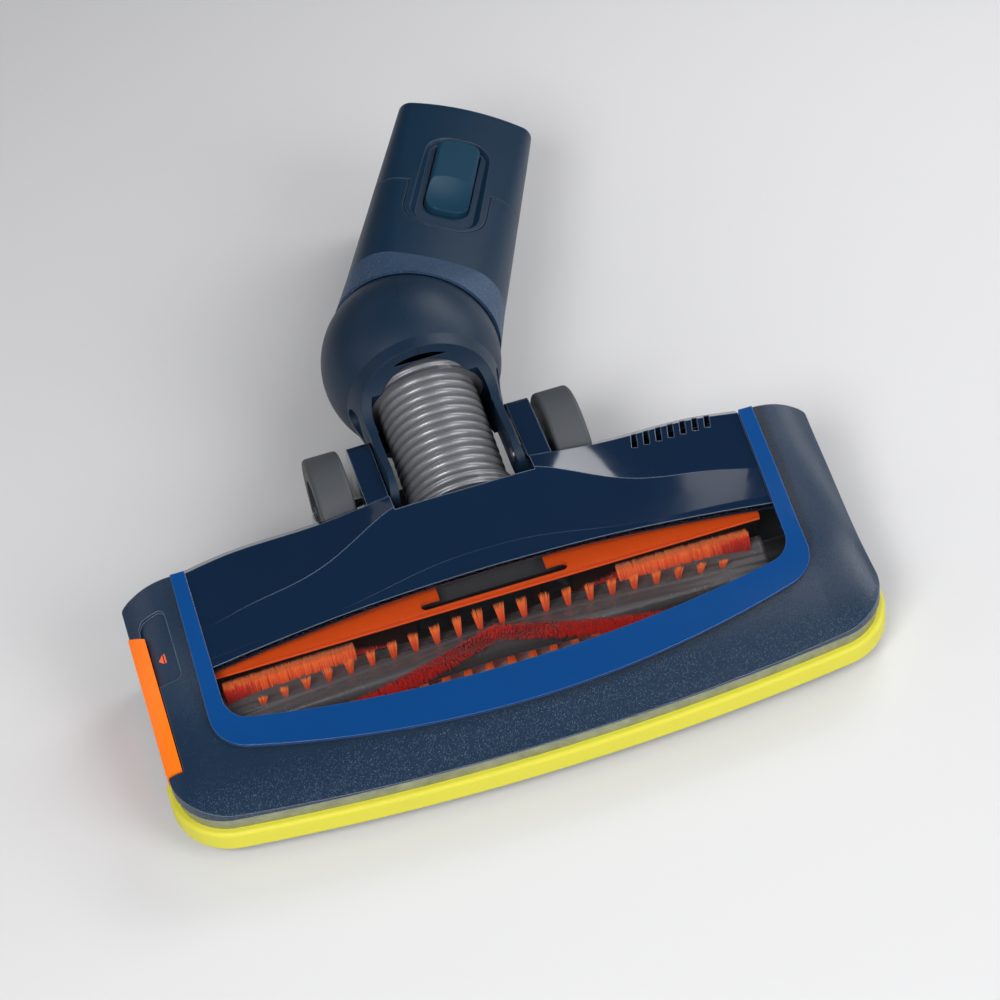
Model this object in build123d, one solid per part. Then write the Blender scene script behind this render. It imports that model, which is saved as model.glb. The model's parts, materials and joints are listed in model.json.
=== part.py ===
from build123d import *
import math
import os

# Floor head of a cordless vacuum cleaner: a lit hood with a window over a driven brush
# roller, two rear wheels, and a neck that pitches on two pins and swivels in its tube.
# While it is built, y = 0 is the rear edge of the hood and z = 0 is the floor; +X is right,
# +Y points back to the neck. At the end everything moves so that the origin lies under the
# middle of the whole head.

# Hood
hood_half = 122.8
hood_front_y = -93.4
hood_front_bow = 9.4
hood_corner_y = hood_front_y + hood_front_bow
hood_rear_bow = 10.0
hood_corner_radius = 20.0
hood_rear_radius = 1.2
hood_rear_y = 0.4
hood_wall = 2.2
crown_margin = 19.8
crown_half = hood_half - crown_margin
crown_spread = 1.0
hood_skirt_z = 8.0
hood_front_z = 20.4
# Crown line of the hood: y, height of the crown, fall from crown to outer edge
crown_stations = [
    (20.0, 52.0, 10.8),
    (4.0, 48.6, 10.8),
    (-18.0, 40.4, 8.6),
    (-36.0, 33.0, 5.6),
    (-52.0, 27.6, 3.2),
    (-64.0, 26.0, 2.2),
    (-80.0, 24.2, 1.6),
    (-100.0, 22.2, 1.2),
]

# Accent frame
frame_margin_front = 17.8
frame_margin_rear = 19.0
frame_half_front = hood_half - frame_margin_front
frame_half_rear = hood_half - frame_margin_rear
frame_bar = 5.0
frame_sweep = 17.6
frame_inner_sweep = 11.0
frame_lip = 16.1
frame_depth = 15.3
frame_front_y = hood_front_y + frame_lip
frame_corner_y = frame_front_y + frame_sweep
frame_inner_front_y = frame_front_y + frame_depth
frame_inner_corner_y = frame_inner_front_y + frame_inner_sweep
frame_corner_radius = 14.0
frame_inner_radius = 9.0
frame_proud = 0.7
frame_wall = 3.0

# Window and the cover's front edge
window_end_y = -33.4
window_mid_y = -26.6
window_drop = 0.5
window_wall = 1.3
seam = 0.15

# Cover: sections across the head, each from front edge over two creases to the rear bevel
cover_wall = 2.4
cover_play = 0.2
cover_half = frame_half_rear - frame_bar - cover_play
cover_steps = (14.6, 34.6)
cover_sections = [
    (cover_half, (-34.4, 33.6), (-29.6, 34.9), (-20.0, 39.2), (0.6, 46.2), (4.2, 43.6)),
    (cover_half - cover_steps[0], (-33.0, 34.0), (-28.6, 35.6), (-17.6, 41.2), (3.4, 46.2), (7.4, 43.2)),
    (cover_half - cover_steps[1], (-30.6, 34.8), (-27.6, 36.4), (-15.0, 43.2), (4.4, 46.2), (8.6, 43.0)),
    (45.0, (-29.2, 35.3), (-26.0, 37.6), (-9.0, 46.0), (4.6, 47.2), (9.0, 43.6)),
    (31.0, (-28.2, 35.7), (-24.0, 39.0), (-2.8, 49.3), (5.0, 49.0), (9.4, 45.0)),
    (0.0, (-27.6, 36.0), (-21.5, 40.4), (-1.4, 50.4), (5.0, 50.4), (9.4, 46.0)),
]
# How the corners of the cover's hollow move in y and z for each millimetre of its wall
cover_hollow = [(-1.0, -1.3), (0.5, -1.2), (0.4, -1.2), (-0.4, -1.2), (-1.0, -0.8)]
pocket_front_y = -1.6
vent_count = 7
vent_pitch = 4.4
vent_y = 2.2
vent_z = 46.0
vent_turn = -14.0
vent_size = (1.9, 6.4, 12.0)

# Light strip and bumper
lens_z = 15.0
lens_recess = 0.9
lens_wall = 2.4
bumper_z = 6.6
bumper_proud = 1.7
bumper_end_y = -60.0
bumper_edge = 1.5
led_count = 12
led_size = (3.2, 1.6, 2.4)
led_play = 0.04
board_wall = 1.2
board_margin = 24.8
board_half = hood_half - board_margin
led_spacing = 2 * board_half / (led_count + 0.25)

# Brush roller
roller_y = -39.4
roller_z = 14.4
brush_radius = 13.5
core_radius = 5.6
core_margin = 20.8
core_left_x = core_margin - hood_half
belt_margin = 18.8
belt_x = hood_half - belt_margin
hub_length = 11.0
core_right_x = belt_x - hub_length
core_groove = (1.4, 0.5)
core_groove_angles = (47.0, 86.0, 140.0, 159.0)
twist = 48.0
tuft_count = 22
tuft_margins = (16.4, 16.2)
tuft_first_x = core_left_x + tuft_margins[0]
tuft_last_x = core_right_x - tuft_margins[1]
strip_overhang = 11.5
strip_seat = 0.03
strip_steps = 4
strip_short = 0.4
plush_short = 1.0
tuft_seat = 0.05
tuft_angle_end = 67.0
strip_angle_end = 112.0
plush_angle_end = 14.0
tuft_root = (2.0, 1.9)
tuft_tip = (4.3, 1.2)
strip_width = 3.4
plush_width = 4.6
shaft_radius = 2.5
shaft_fit = 0.05
shaft_reach = 8.0
cap_radius = 8.5
cap_length = 5.0
bearing_length = 5.5
hub_radius = 7.5
hub_step = 1.2
rim_side = 0.5
drive_side = 1.0

# Drive
motor_y = -10.0
motor_z = 25.0
motor_radius = 12.0
motor_length = 40.0
motor_setback = 11.0
motor_edge = 1.5
motor_nose = (3.0, 5.0)
motor_left_x = belt_x - motor_length - motor_setback
cradle_inset = 6.0
cradle_play = 1.0
cradle_sink = 0.4
vent_lead = 8.5
vent_first_x = motor_left_x + vent_lead
motor_shaft_radius = 1.6
motor_pulley_radius = 5.5
belt_width = 6.0
drive_end_x = belt_x + belt_width + drive_side
belt_wall = 1.4
belt_slack = 0.3

# Inner plate behind the roller
tunnel_gap = 1.1
tunnel_wall = 1.6
tunnel_low = 212.0
tunnel_high = 118.0
tunnel_lap = 1.0
port_half = 28.0
port_height = 10.0
port_z = 15.5
port_corner = 2.0
finger_x = 15.0
finger_width = 2.6
ledge_y = (-32.2, -22.6)
ledge_z = (27.6, 29.2)
ledge_slot = (52.0, 4.0)
ledge_slot_y = -29.0
ledge_gap_half = 19.0
duct_wall = 1.5
duct_ease = 1.6
duct_cut = 1.0

# Sole
sole_inset = 2.0
sole_bottom = 3.0
sole_thickness = 5.0
brush_slot = (-54.0, -25.0)
slot_play = (1.0, 2.0)
belt_floor = 1.6
apron_half = 23.0
apron_y = (-10.0, 46.0)
apron_corner = 8.0
belt_play = (1.5, 2.0)
caster_margin = 38.8
caster_x = hood_half - caster_margin
caster_y = -68.0
caster_radius = 5.4
caster_width = 9.0
caster_axle_radius = 1.25
caster_gap = 0.8
caster_edge = 1.2
caster_axle_reach = 4.0
felt_inset = 12.0
felt_depth = 2.4
felt_margin = 26.8
felt_half = hood_half - felt_margin

# Neck pivot, ears and wheels
pivot_y = 15.2
pivot_z = 42.0
pin_radius = 2.5
pin_fit = 0.05
arm_half = 24.4
ear_gap = 0.5
ear_thickness = 8.2
ear_tip_y = 32.0
ear_tip_z = 40.0
ear_tip_radius = 7.0
ear_top_z = 47.6
ear_drop = 30.0
ear_root = 4.0
ear_axle_radius = 9.5
axle_y = 24.8
wheel_radius = 24.0
wheel_inner_x = 36.0
wheel_width = 12.6
wheel_edge = 1.4
tyre_depth = 4.5
axle_radius = 3.0
axle_fit = 0.05
axle_boss = 3.0
axle_seat = 1.5
axle_head_gap = 0.4
axle_head = (1.4, 2.2)
axle_head_edge = 0.8
dish_depth = 2.0
dish_rim = 3.0
hub_boss = 4.0
pin_start = 0.3
well_gap = 1.8

# Yoke
ball_y = 71.0
ball_z = 43.5
ball_radius = 32.3
yoke_wall = 3.0
yoke_front_y = 4.0
yoke_knee_y = 36.0
yoke_crease_y = 54.6
hose_room = 20.6
slot_half = 20.9
yoke_boss_radius = 9.0
arm_top = [(30.0, 49.2), (40.5, 50.8), (46.6, 56.5), (49.2, 63.5), (50.2, 72.0)]
arm_bottom = [(30.0, 33.2), (39.0, 32.5), (45.0, 29.0), (48.5, 22.0), (50.2, 12.0)]
air_hole_radius = 15.0
notch_y = 46.0
notch_z = 45.0
notch_radius = 4.4
notch_run = 6.0
notch_x = 25.2

# Hose
hose_radius = 18.2
hose_pitch = 3.4
hose_depth = 2.2
hose_wall = 0.9
hose_flat = (0.3, 0.7)
hose_start = (5.0, 31.0)
hose_end = (55.0, 44.6)
cuff_length = 5.0
cuff_wall = 1.8

# Tube, built straight back from the ball's centre and then swivelled
swivel_lean = 34.0
swivel_rest = 29.0
tube_drop = 3.0
socket_gap = 0.35
rim_share = 0.421
rim_y = ball_radius * rim_share
rim_step = 1.6
rim_radius = ball_radius - rim_step
nearly_round = 0.985
collar_length = 7.9
collar_y = rim_y + collar_length
collar_tilt = 12.0
sleeve_y = 73.0
mouth_y = 124.0
collar_step = 2.7
collar_half = ball_radius - collar_step
tube_flatness = 0.93
tube_bow_top = 0.12
tube_bow_side = 0.05
collar_round = 0.62
sleeve_round = 0.4
mouth_round = 0.22
groove_width = 0.4
groove_depth = 0.8
bore_radius = 19.0
bore_depth = 42.0
duct_radius = 17.0
mouth_wall = 7.9
mouth_half = bore_radius + mouth_wall
sleeve_half = (collar_half + mouth_half) / 2
tongue_half = 15.2
tongue_dip = 27.0
tongue_round = 0.8
swivel_cap_angle = 26.0
swivel_cap_wall = 2.6
swivel_cap_play = 2.0
bridge_half = 12.0
bridge_play = 0.4
bridge_share = 0.3
bridge_front = ball_radius * bridge_share
bridge_reach = 9.5
bridge_rise = 0.4
swivel_pin_radius = 3.0
swivel_pin_fit = 0.05
swivel_pin_reach = 1.0
button_half = 8.2
button_length = 44.0
button_y = 79.6
button_corner = 5.4
button_edge = 1.6
dimple_reach = 11.5
dimple_depth = 1.6
dimple_y = 66.2
button_depth = 4.2
button_proud = 0.6
button_gap = 0.5
button_travel = 2.0
well_y = 75.6
well_half = 10.8
well_length = 51.0
well_corner = 7.4
well_depth = 2.6
well_flare = 6.0
contact_radius = 1.3
contact_length = 9.0
contact_pitch = 7.0
contact_setback = 6.0
contact_web = 0.6

# Brush release latch on the left side
latch_width = 5.0
latch_inner_x = hood_half - latch_width
latch_rear_y = -15.5
latch_front_y = -65.0
latch_base_z = 12.5
latch_proud = 0.5
latch_gap = 0.4
scoop_size = (9.6, 24.0)
scoop_corner = 2.5
scoop_lip = 1.0
scoop_lead = 6.5
latch_slant = 5.0
latch_slope = 0.8
scoop_depth = 0.9

# Fasteners
screw_radius = 2.2
screw_length = 1.6
screw_slot = (3.3, 0.7)
screw_margin = 26.8
screw_far_x = hood_half - screw_margin
screw_half = [(screw_far_x, -14.0), (56.0, -2.0), (40.0, -70.0)]
screw_places = [(side * x, y) for x, y in screw_half for side in (-1, 1)]

big = 400.0
open_rear_y = 50.0
fine = 0.02
sole_top = sole_bottom + sole_thickness
bumper_wall = bumper_proud + sole_inset


def outline(*edges):
    """Closed flat face from edges that meet end to end."""
    return make_face(list(edges))


def side_face(points, x=0.0):
    """Polygon given by (y, z) points, in the plane at x, facing +X."""
    return Plane.YZ.offset(x) * make_face(Polyline(*points, close=True))


def side_prism(points, x0, x1):
    """Polygon of (y, z) points carried from x0 to x1."""
    return extrude(side_face(points, x0), amount=x1 - x0)


def upright(face, z0, z1):
    """Plan face carried from height z0 to z1."""
    return extrude(Pos(0, 0, z0) * face, amount=z1 - z0)


def block(x0, x1, y0, y1, z0, z1):
    """Box between two corners."""
    return Pos((x0 + x1) / 2, (y0 + y1) / 2, (z0 + z1) / 2) * Box(x1 - x0, y1 - y0, z1 - z0)


def rod_x(x0, x1, y, z, radius):
    """Round bar along X."""
    return extrude(Plane.YZ.offset(x0) * Pos(y, z) * Circle(radius), amount=x1 - x0)


def ring_x(x0, x1, y, z, outer, inner):
    """Tube along X."""
    return rod_x(x0, x1, y, z, outer) - rod_x(x0, x1, y, z, inner)


def both_sides(part):
    """A piece and its mirror image across the middle plane."""
    return part + mirror(part, Plane.YZ)


def on_circle(y, z, radius, degrees):
    """Point (y, z) on a circle seen from the right; 0 degrees points to the front, 90 up."""
    turn = math.radians(degrees)
    return y - radius * math.cos(turn), z + radius * math.sin(turn)


def hood_plan(inset):
    """Plan of the head: straight sides, bowed front and rear, rounded corners."""
    front = ThreePointArc((-hood_half, hood_corner_y), (0, hood_front_y), (hood_half, hood_corner_y))
    rear = ThreePointArc((hood_half, 0), (0, hood_rear_bow), (-hood_half, 0))
    right = Line((hood_half, hood_corner_y), (hood_half, 0))
    left = Line((-hood_half, 0), (-hood_half, hood_corner_y))
    plan = outline(front, right, rear, left)
    plan = fillet(plan.vertices().sort_by(Axis.Y)[:2], hood_corner_radius)
    plan = fillet(plan.vertices().sort_by(Axis.Y)[-2:], hood_rear_radius)
    return offset(plan, -inset) if inset else plan


def crown_form(inset):
    """Solid under the crown: arched sections along the head, lowered and narrowed by the inset."""
    sections = []
    for y, crown, fall in crown_stations:
        half = hood_half + crown_spread - inset
        top = crown - inset
        right = Spline((crown_half, top), (half, top - fall), tangents=((1, 0), (0.7, -0.7)))
        left = Spline((-half, top - fall), (-crown_half, top), tangents=((0.7, 0.7), (1, 0)))
        rest = Polyline((half, top - fall), (half, 0), (-half, 0), (-half, top - fall))
        crest = Line((-crown_half, top), (crown_half, top))
        sections.append(Plane.XZ.offset(-y) * outline(crest, right, rest, left))
    return loft(sections)


def frame_plan_outer():
    """Plan inside the outer edge of the accent frame, open to the rear."""
    front = ThreePointArc(
        (-frame_half_front, frame_corner_y), (0, frame_front_y), (frame_half_front, frame_corner_y)
    )
    rest = Polyline(
        (frame_half_front, frame_corner_y),
        (frame_half_rear, 0),
        (frame_half_rear, open_rear_y),
        (-frame_half_rear, open_rear_y),
        (-frame_half_rear, 0),
        (-frame_half_front, frame_corner_y),
    )
    plan = outline(front, rest)
    return fillet(plan.vertices().sort_by(Axis.Y)[:2], frame_corner_radius)


def frame_plan_inner(grow=0.0):
    """Plan inside the inner edge of the accent frame, open to the rear."""
    half = frame_half_rear - frame_bar
    corner_y = frame_inner_corner_y
    front = ThreePointArc((-half, corner_y), (0, frame_inner_front_y), (half, corner_y))
    rest = Polyline((half, corner_y), (half, open_rear_y), (-half, open_rear_y), (-half, corner_y))
    plan = outline(front, rest)
    plan = fillet(plan.vertices().sort_by(Axis.Y)[:2], frame_inner_radius)
    return offset(plan, grow) if grow else plan


def behind_window(shift=0.0):
    """Plan of everything behind the cover's bowed front edge."""
    edge = ThreePointArc(
        (-frame_half_rear, window_end_y + shift),
        (0, window_mid_y + shift),
        (frame_half_rear, window_end_y + shift),
    )
    rest = Polyline(
        (frame_half_rear, window_end_y + shift),
        (frame_half_rear, open_rear_y),
        (-frame_half_rear, open_rear_y),
        (-frame_half_rear, window_end_y + shift),
    )
    return outline(edge, rest)


def make_hood(outer, inner):
    """Textured shell: two wings and the front band, open where the accent frame sits."""
    shell = outer & upright(hood_plan(0), hood_skirt_z, big)
    shell &= block(-big, big, -big, hood_rear_y, 0, big)
    hollow = inner & upright(hood_plan(hood_wall), 0, big)
    shell -= hollow & block(-big, big, -big, hood_rear_y - hood_wall, 0, big)
    shell -= upright(frame_plan_outer(), 0, big)
    shell -= block(-big, big, -big, bumper_end_y, 0, hood_front_z)
    shell -= upright(latch_plan(latch_gap), latch_base_z - latch_gap, big)
    scoop_x = -latch_inner_x - scoop_lip + scoop_size[0] / 2
    scoop_y = latch_rear_y + scoop_lead - scoop_size[1] / 2
    scoop = RectangleRounded(scoop_size[0], scoop_size[1], scoop_corner)
    shell -= upright(Pos(scoop_x, scoop_y) * scoop, 0, big) - crown_form(scoop_depth)
    return shell


def make_frame():
    """Glossy U-shaped frame, proud of the hood around cover and window."""
    band = crown_form(-frame_proud) - crown_form(frame_wall - frame_proud)
    band &= upright(frame_plan_outer(), 0, big) - upright(frame_plan_inner(), 0, big)
    return band & upright(hood_plan(0.0), 0, big) & block(-big, big, -big, hood_rear_y, 0, big)


def make_window():
    """Clear pane between the accent frame and the cover's front edge."""
    pane = crown_form(window_drop) - crown_form(window_drop + window_wall)
    pane &= upright(frame_plan_inner(-seam), 0, big)
    return pane - upright(behind_window(-seam), 0, big)


def cover_block(inset):
    """Faceted body lofted across the head; the inset one is the hollow, open to front and ends."""
    faces = []
    stations = [(-x, *rest) for x, *rest in cover_sections[:-1]]
    stations += list(reversed(cover_sections))
    widest = cover_sections[0][0]
    for x, *corners in stations:
        reach = math.copysign(cover_wall if inset else -seam, x) if abs(x) == widest else 0.0
        upper = [(y + inset * dy, z + inset * dz) for (y, z), (dy, dz) in zip(corners, cover_hollow)]
        low_z = sole_top - inset
        points = [(upper[0][0], low_z), *upper, (upper[-1][0], low_z)]
        faces.append(side_face(points, x + reach))
    return loft(faces)


def ear_profile():
    """Side view of an ear: it runs back from the cover past the pin and down to the axle."""
    tip = Pos(ear_tip_y, ear_tip_z) * Circle(ear_tip_radius)
    axle = Pos(axle_y, wheel_radius) * Circle(ear_axle_radius)
    nose = Pos(pocket_front_y - ear_root / 2, ear_top_z - ear_drop / 2) * Rectangle(ear_root, ear_drop)
    return make_hull([*tip.edges(), *axle.edges(), *nose.edges()])


def make_cover():
    """Glossy rear cover with the hose pocket, ears, wheel wells and motor vents."""
    cover = cover_block(0.0) - cover_block(cover_wall)
    cover &= upright(behind_window(), 0, big)
    ear_inner = arm_half + ear_gap
    ear = extrude(Plane.YZ.offset(ear_inner) * ear_profile(), amount=ear_thickness)
    boss_start = ear_inner + ear_thickness
    boss = rod_x(boss_start, wheel_inner_x - ear_gap, axle_y, wheel_radius, axle_radius + axle_boss)
    pocket = block(-ear_inner, ear_inner, pocket_front_y, big, 0, big)
    well_half = wheel_radius + well_gap
    well = rod_x(boss_start, wheel_inner_x + wheel_width + well_gap, axle_y, wheel_radius, well_half)
    cover -= pocket
    cover -= both_sides(well)
    cover += both_sides(ear + boss)
    cover -= both_sides(rod_x(0, boss_start + big, pivot_y, pivot_z, pin_radius))
    cover -= both_sides(rod_x(ear_inner + axle_seat, big, axle_y, wheel_radius, axle_radius))
    return cover - vent_slots()


def vent_slots():
    """Row of slanted slots over the motor, along the right rear edge."""
    slots = Part()
    for i in range(vent_count):
        slots += Pos(vent_first_x + vent_pitch * i, vent_y, vent_z) * Rot(0, 0, vent_turn) * Box(*vent_size)
    return slots


def front_band(outer_grow, depth, z0, z1, end_y):
    """Strip that follows the front of the hood plan and turns round both front corners."""
    plan = offset(hood_plan(0), outer_grow) - offset(hood_plan(0), outer_grow - depth)
    strip = upright(plan, z0, z1)
    return strip & block(-big, big, -big, end_y, 0, big)


def make_bumper():
    """Soft bumper strip with rounded upper and lower edges."""
    strip = front_band(bumper_proud, bumper_wall, bumper_z, lens_z, bumper_end_y)
    rail = offset(hood_plan(0), bumper_proud).wire()
    return fillet([e for e in strip.edges() if follows(e, rail)], bumper_edge)


def follows(edge, rail):
    """True for a level edge that lies over the rail in plan."""
    middle = edge @ 0.5
    level = abs((edge @ 0).Z - (edge @ 1).Z) < fine
    return level and rail.distance_to(Vertex(middle.X, middle.Y, 0)) < fine


def make_lens():
    """Clear strip that carries the light round the front, under the hood's edge."""
    return front_band(-lens_recess, lens_wall, lens_z, hood_front_z, bumper_end_y)


def front_radius():
    """Radius of the bowed front."""
    return (hood_half**2 + hood_front_bow**2) / (2 * hood_front_bow)


def front_line(x, inset):
    """Y of the bowed front at x, moved inwards by the inset."""
    radius = front_radius()
    return hood_front_y + radius - math.sqrt((radius - inset) ** 2 - x**2)


def led_row():
    """Places of the lights along the front."""
    return [led_spacing * (i - (led_count - 1) / 2) for i in range(led_count)]


def make_led_board():
    """Circuit strip behind the lens."""
    back = lens_recess + lens_wall + led_size[1]
    rear = offset(hood_plan(0), -back) - offset(hood_plan(0), -back - board_wall)
    strip = upright(rear, lens_z, hood_front_z - board_wall)
    return strip & block(-board_half, board_half, -big, bumper_end_y, 0, big)


def make_leds():
    """Light chips between board and lens."""
    chips = []
    back = lens_recess + lens_wall + led_size[1] / 2
    for x in led_row():
        chip = Box(led_size[0], led_size[1] - led_play, led_size[2])
        y = front_line(x, back)
        slope = math.degrees(math.asin(x / front_radius()))
        chips.append(Pos(x, y, (lens_z + hood_front_z) / 2) * Rot(0, 0, slope) * chip)
    return Compound(children=chips)


def make_sole():
    """Lower plate with the brush slot, belt pocket, wheel wells, front roller pockets and hose apron."""
    plate = upright(hood_plan(sole_inset), sole_bottom, sole_top)
    apron = RectangleRounded(2 * apron_half, apron_y[1] - apron_y[0], apron_corner)
    plate += upright(Pos(0, (apron_y[0] + apron_y[1]) / 2) * apron, sole_bottom, sole_top)
    slot_left = core_left_x - cap_length - slot_play[0]
    plate -= block(slot_left, core_right_x + slot_play[1], *brush_slot, 0, big)
    belt_room = hub_radius + belt_wall + belt_play[0]
    belt_end = belt_x + belt_width + belt_play[1]
    plate -= block(
        core_right_x, belt_end, roller_y - belt_room, roller_y + belt_room, sole_bottom + belt_floor, big
    )
    well_inner = arm_half + ear_gap + ear_thickness
    well_outer = wheel_inner_x + wheel_width + well_gap
    well_front = axle_y - wheel_radius - well_gap
    plate -= both_sides(block(well_inner, well_outer, well_front, big, 0, big))
    half = caster_width / 2 + caster_gap
    reach = caster_radius + caster_gap
    for x in (-caster_x, caster_x):
        plate -= block(x - half, x + half, caster_y - reach, caster_y + reach, 0, big)
    plate -= make_caster_axles()
    return plate - screw_blanks()


def make_casters(x):
    """Small front roller with crowned ends."""
    wheel = rod_x(x - caster_width / 2, x + caster_width / 2, caster_y, caster_radius, caster_radius)
    wheel = fillet(wheel.edges().filter_by(GeomType.CIRCLE), caster_edge)
    return wheel - rod_x(x - big, x + big, caster_y, caster_radius, caster_axle_radius + axle_fit)


def make_caster_axles():
    """Axles of both front rollers."""
    half = caster_width / 2 + caster_gap + caster_axle_reach
    pins = Part()
    for x in (-caster_x, caster_x):
        pins += rod_x(x - half, x + half, caster_y, caster_radius, caster_axle_radius)
    return pins


def make_tunnel():
    """Inner plate that wraps the back of the roller, with the suction port, two fingers and a ledge."""
    inner = brush_radius + tunnel_gap
    outer = inner + tunnel_wall
    ring = ring_x(core_left_x - tunnel_lap, core_right_x + tunnel_lap, roller_y, roller_z, outer, inner)
    reach = 3 * outer
    angles = (tunnel_high, (tunnel_high + tunnel_low) / 2, tunnel_low)
    fan = [on_circle(roller_y, roller_z, reach, a) for a in angles]
    plate = ring & side_prism([(roller_y, roller_z), *fan], -big, big)
    plate -= block(-big, big, -big, big, 0, sole_top)
    port = block(-port_half, port_half, roller_y, big, port_z - port_height / 2, port_z + port_height / 2)
    for x in (-finger_x, finger_x):
        port -= block(x - finger_width / 2, x + finger_width / 2, -big, big, 0, big)
    return plate - port + tunnel_ledge()


def tunnel_ledge():
    """Ledge under the cover's front edge, open at the middle with a finger on either side."""
    ledge = block(core_left_x - tunnel_lap, core_right_x + tunnel_lap, *ledge_y, *ledge_z)
    ledge -= upright(Pos(0, ledge_slot_y) * SlotOverall(*ledge_slot), 0, big)
    return ledge - block(-ledge_gap_half, ledge_gap_half, ledge_slot_y, big, 0, big)


def duct_loft(wall):
    """Duct body from the suction port up to the hose, thinned by the wall."""
    back_y = roller_y + brush_radius + tunnel_gap + tunnel_wall
    low = Plane.XZ.offset(-back_y) * Pos(0, port_z)
    rise = duct_wall - wall
    low_face = RectangleRounded(2 * (port_half + rise), port_height + 2 * rise, port_corner)
    start, run, length = hose_axis()
    high = Plane(start, x_dir=(1, 0, 0), z_dir=(0, -run[1], -run[2]))
    radius = hose_radius + cuff_wall - duct_ease - wall
    high_face = RectangleRounded(2 * radius, 2 * radius, radius * nearly_round)
    return loft([low * low_face, high.location * high_face])


def make_duct():
    """Elbow from the suction port up to the hose."""
    return duct_loft(0.0) - duct_loft(duct_wall) - duct_mouths()


def duct_mouths():
    """Room that opens both ends of the duct."""
    back_y = roller_y + brush_radius + tunnel_gap + tunnel_wall
    low = Pos(0, back_y, port_z) * Box(2 * port_half, 2 * duct_cut, port_height)
    start, run, length = hose_axis()
    plane = Plane(start, x_dir=(1, 0, 0), z_dir=run)
    bore = extrude(Circle(hose_radius - hose_depth), amount=2 * duct_cut)
    return low + plane.location * Pos(0, 0, -duct_cut) * bore


def roller_angle(x, end_angle):
    """Angle of a helical row at x: it leads by the twist at the middle of the V."""
    middle = (tuft_first_x + tuft_last_x) / 2
    half = (tuft_last_x - tuft_first_x) / 2
    return end_angle + twist * (1 - abs(x - middle) / half)


def radial_plane(x, degrees, radius):
    """Plane across a row at x, on the roller's surface; its normal points outwards."""
    y, z = on_circle(roller_y, roller_z, radius, degrees)
    turn = math.radians(degrees)
    normal = (0, -math.cos(turn), math.sin(turn))
    return Plane((x, y, z), x_dir=(1, 0, 0), z_dir=normal)


def make_tufts():
    """Bristle tufts in two V rows: narrow at the root, fanned at the tip."""
    tufts = []
    pitch = (tuft_last_x - tuft_first_x) / (tuft_count - 1)
    for half_turn in (0, 180):
        for i in range(tuft_count):
            x = tuft_first_x + pitch * i
            degrees = roller_angle(x, tuft_angle_end) + half_turn
            root = radial_plane(x, degrees, core_radius + tuft_seat) * Rectangle(*tuft_root)
            tip = radial_plane(x, degrees, brush_radius) * Rectangle(*tuft_tip)
            tufts.append(loft([root, tip]))
    return Compound(children=tufts)


def helical_strip(end_angle, width, low, high):
    """V-shaped strip along the roller between two radii, lofted in two halves."""
    middle = (tuft_first_x + tuft_last_x) / 2
    half = (tuft_last_x - tuft_first_x) / 2 + strip_overhang
    halves = []
    for side in (-1, 1):
        faces = []
        for step in range(strip_steps + 1):
            x = middle + side * half * step / strip_steps
            degrees = roller_angle(x, end_angle)
            turn = math.radians(degrees)
            y, z = on_circle(roller_y, roller_z, (low + high) / 2, degrees)
            plane = Plane((x, y, z), x_dir=(0, math.sin(turn), math.cos(turn)), z_dir=(1, 0, 0))
            faces.append(plane * Rectangle(width, high - low))
        halves.append(loft(faces))
    return halves[0] + halves[1]


def make_strips(end_angle, width, tip_radius):
    """A strip and its partner half a turn away."""
    low = core_radius + strip_seat
    strips = [helical_strip(end_angle + turn, width, low, tip_radius) for turn in (0, 180)]
    return Compound(children=[solid for strip in strips for solid in strip.solids()])


def make_core():
    """Roller core with V-shaped grooves between its rows, bored for the steel shaft."""
    core = rod_x(core_left_x, core_right_x, roller_y, roller_z, core_radius)
    width, depth = core_groove
    for angle in core_groove_angles:
        for turn in (0, 180):
            core -= helical_strip(angle + turn, width, core_radius - depth, core_radius + depth)
    return core - rod_x(-big, big, roller_y, roller_z, shaft_radius)


def make_roller_cap():
    """End disc on the left of the roller."""
    return ring_x(core_left_x - cap_length, core_left_x, roller_y, roller_z, cap_radius, shaft_radius)


def make_roller_hub():
    """Stepped drive hub on the right of the roller."""
    body = ring_x(core_right_x, drive_end_x, roller_y, roller_z, hub_radius - hub_step, shaft_radius)
    rim_end = belt_x + belt_width + rim_side
    return body + ring_x(belt_x - rim_side, rim_end, roller_y, roller_z, hub_radius, shaft_radius)


def make_shaft():
    """Steel shaft through the roller."""
    left = core_left_x - cap_length - shaft_reach
    return rod_x(left, drive_end_x + shaft_reach, roller_y, roller_z, shaft_radius)


def make_bearing(x0):
    """Bearing block on the sole for one end of the roller's shaft."""
    rise = roller_z - sole_top
    post = block(x0, x0 + bearing_length, roller_y - rise, roller_y + rise, sole_top, roller_z)
    post += rod_x(x0, x0 + bearing_length, roller_y, roller_z, rise)
    return post - rod_x(-big, big, roller_y, roller_z, shaft_radius + shaft_fit)


def make_motor_cradle():
    """Saddle that holds the motor on the sole."""
    x0 = motor_left_x + cradle_inset
    x1 = motor_left_x + motor_length - cradle_inset
    half = motor_radius - cradle_play
    high = motor_z - motor_radius * cradle_sink
    saddle = block(x0, x1, motor_y - half, motor_y + half, sole_top, high)
    return saddle - rod_x(0, big, motor_y, motor_z, motor_radius)


def make_motor():
    """Motor can with a stepped nose and an end bell."""
    can = rod_x(motor_left_x, motor_left_x + motor_length, motor_y, motor_z, motor_radius)
    can = fillet(can.edges().filter_by(GeomType.CIRCLE), motor_edge)
    nose_length, nose_radius = motor_nose
    nose_x = motor_left_x + motor_length
    nose = rod_x(nose_x, nose_x + nose_length, motor_y, motor_z, nose_radius)
    return can + nose - rod_x(0, big, motor_y, motor_z, motor_shaft_radius + shaft_fit)


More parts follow.
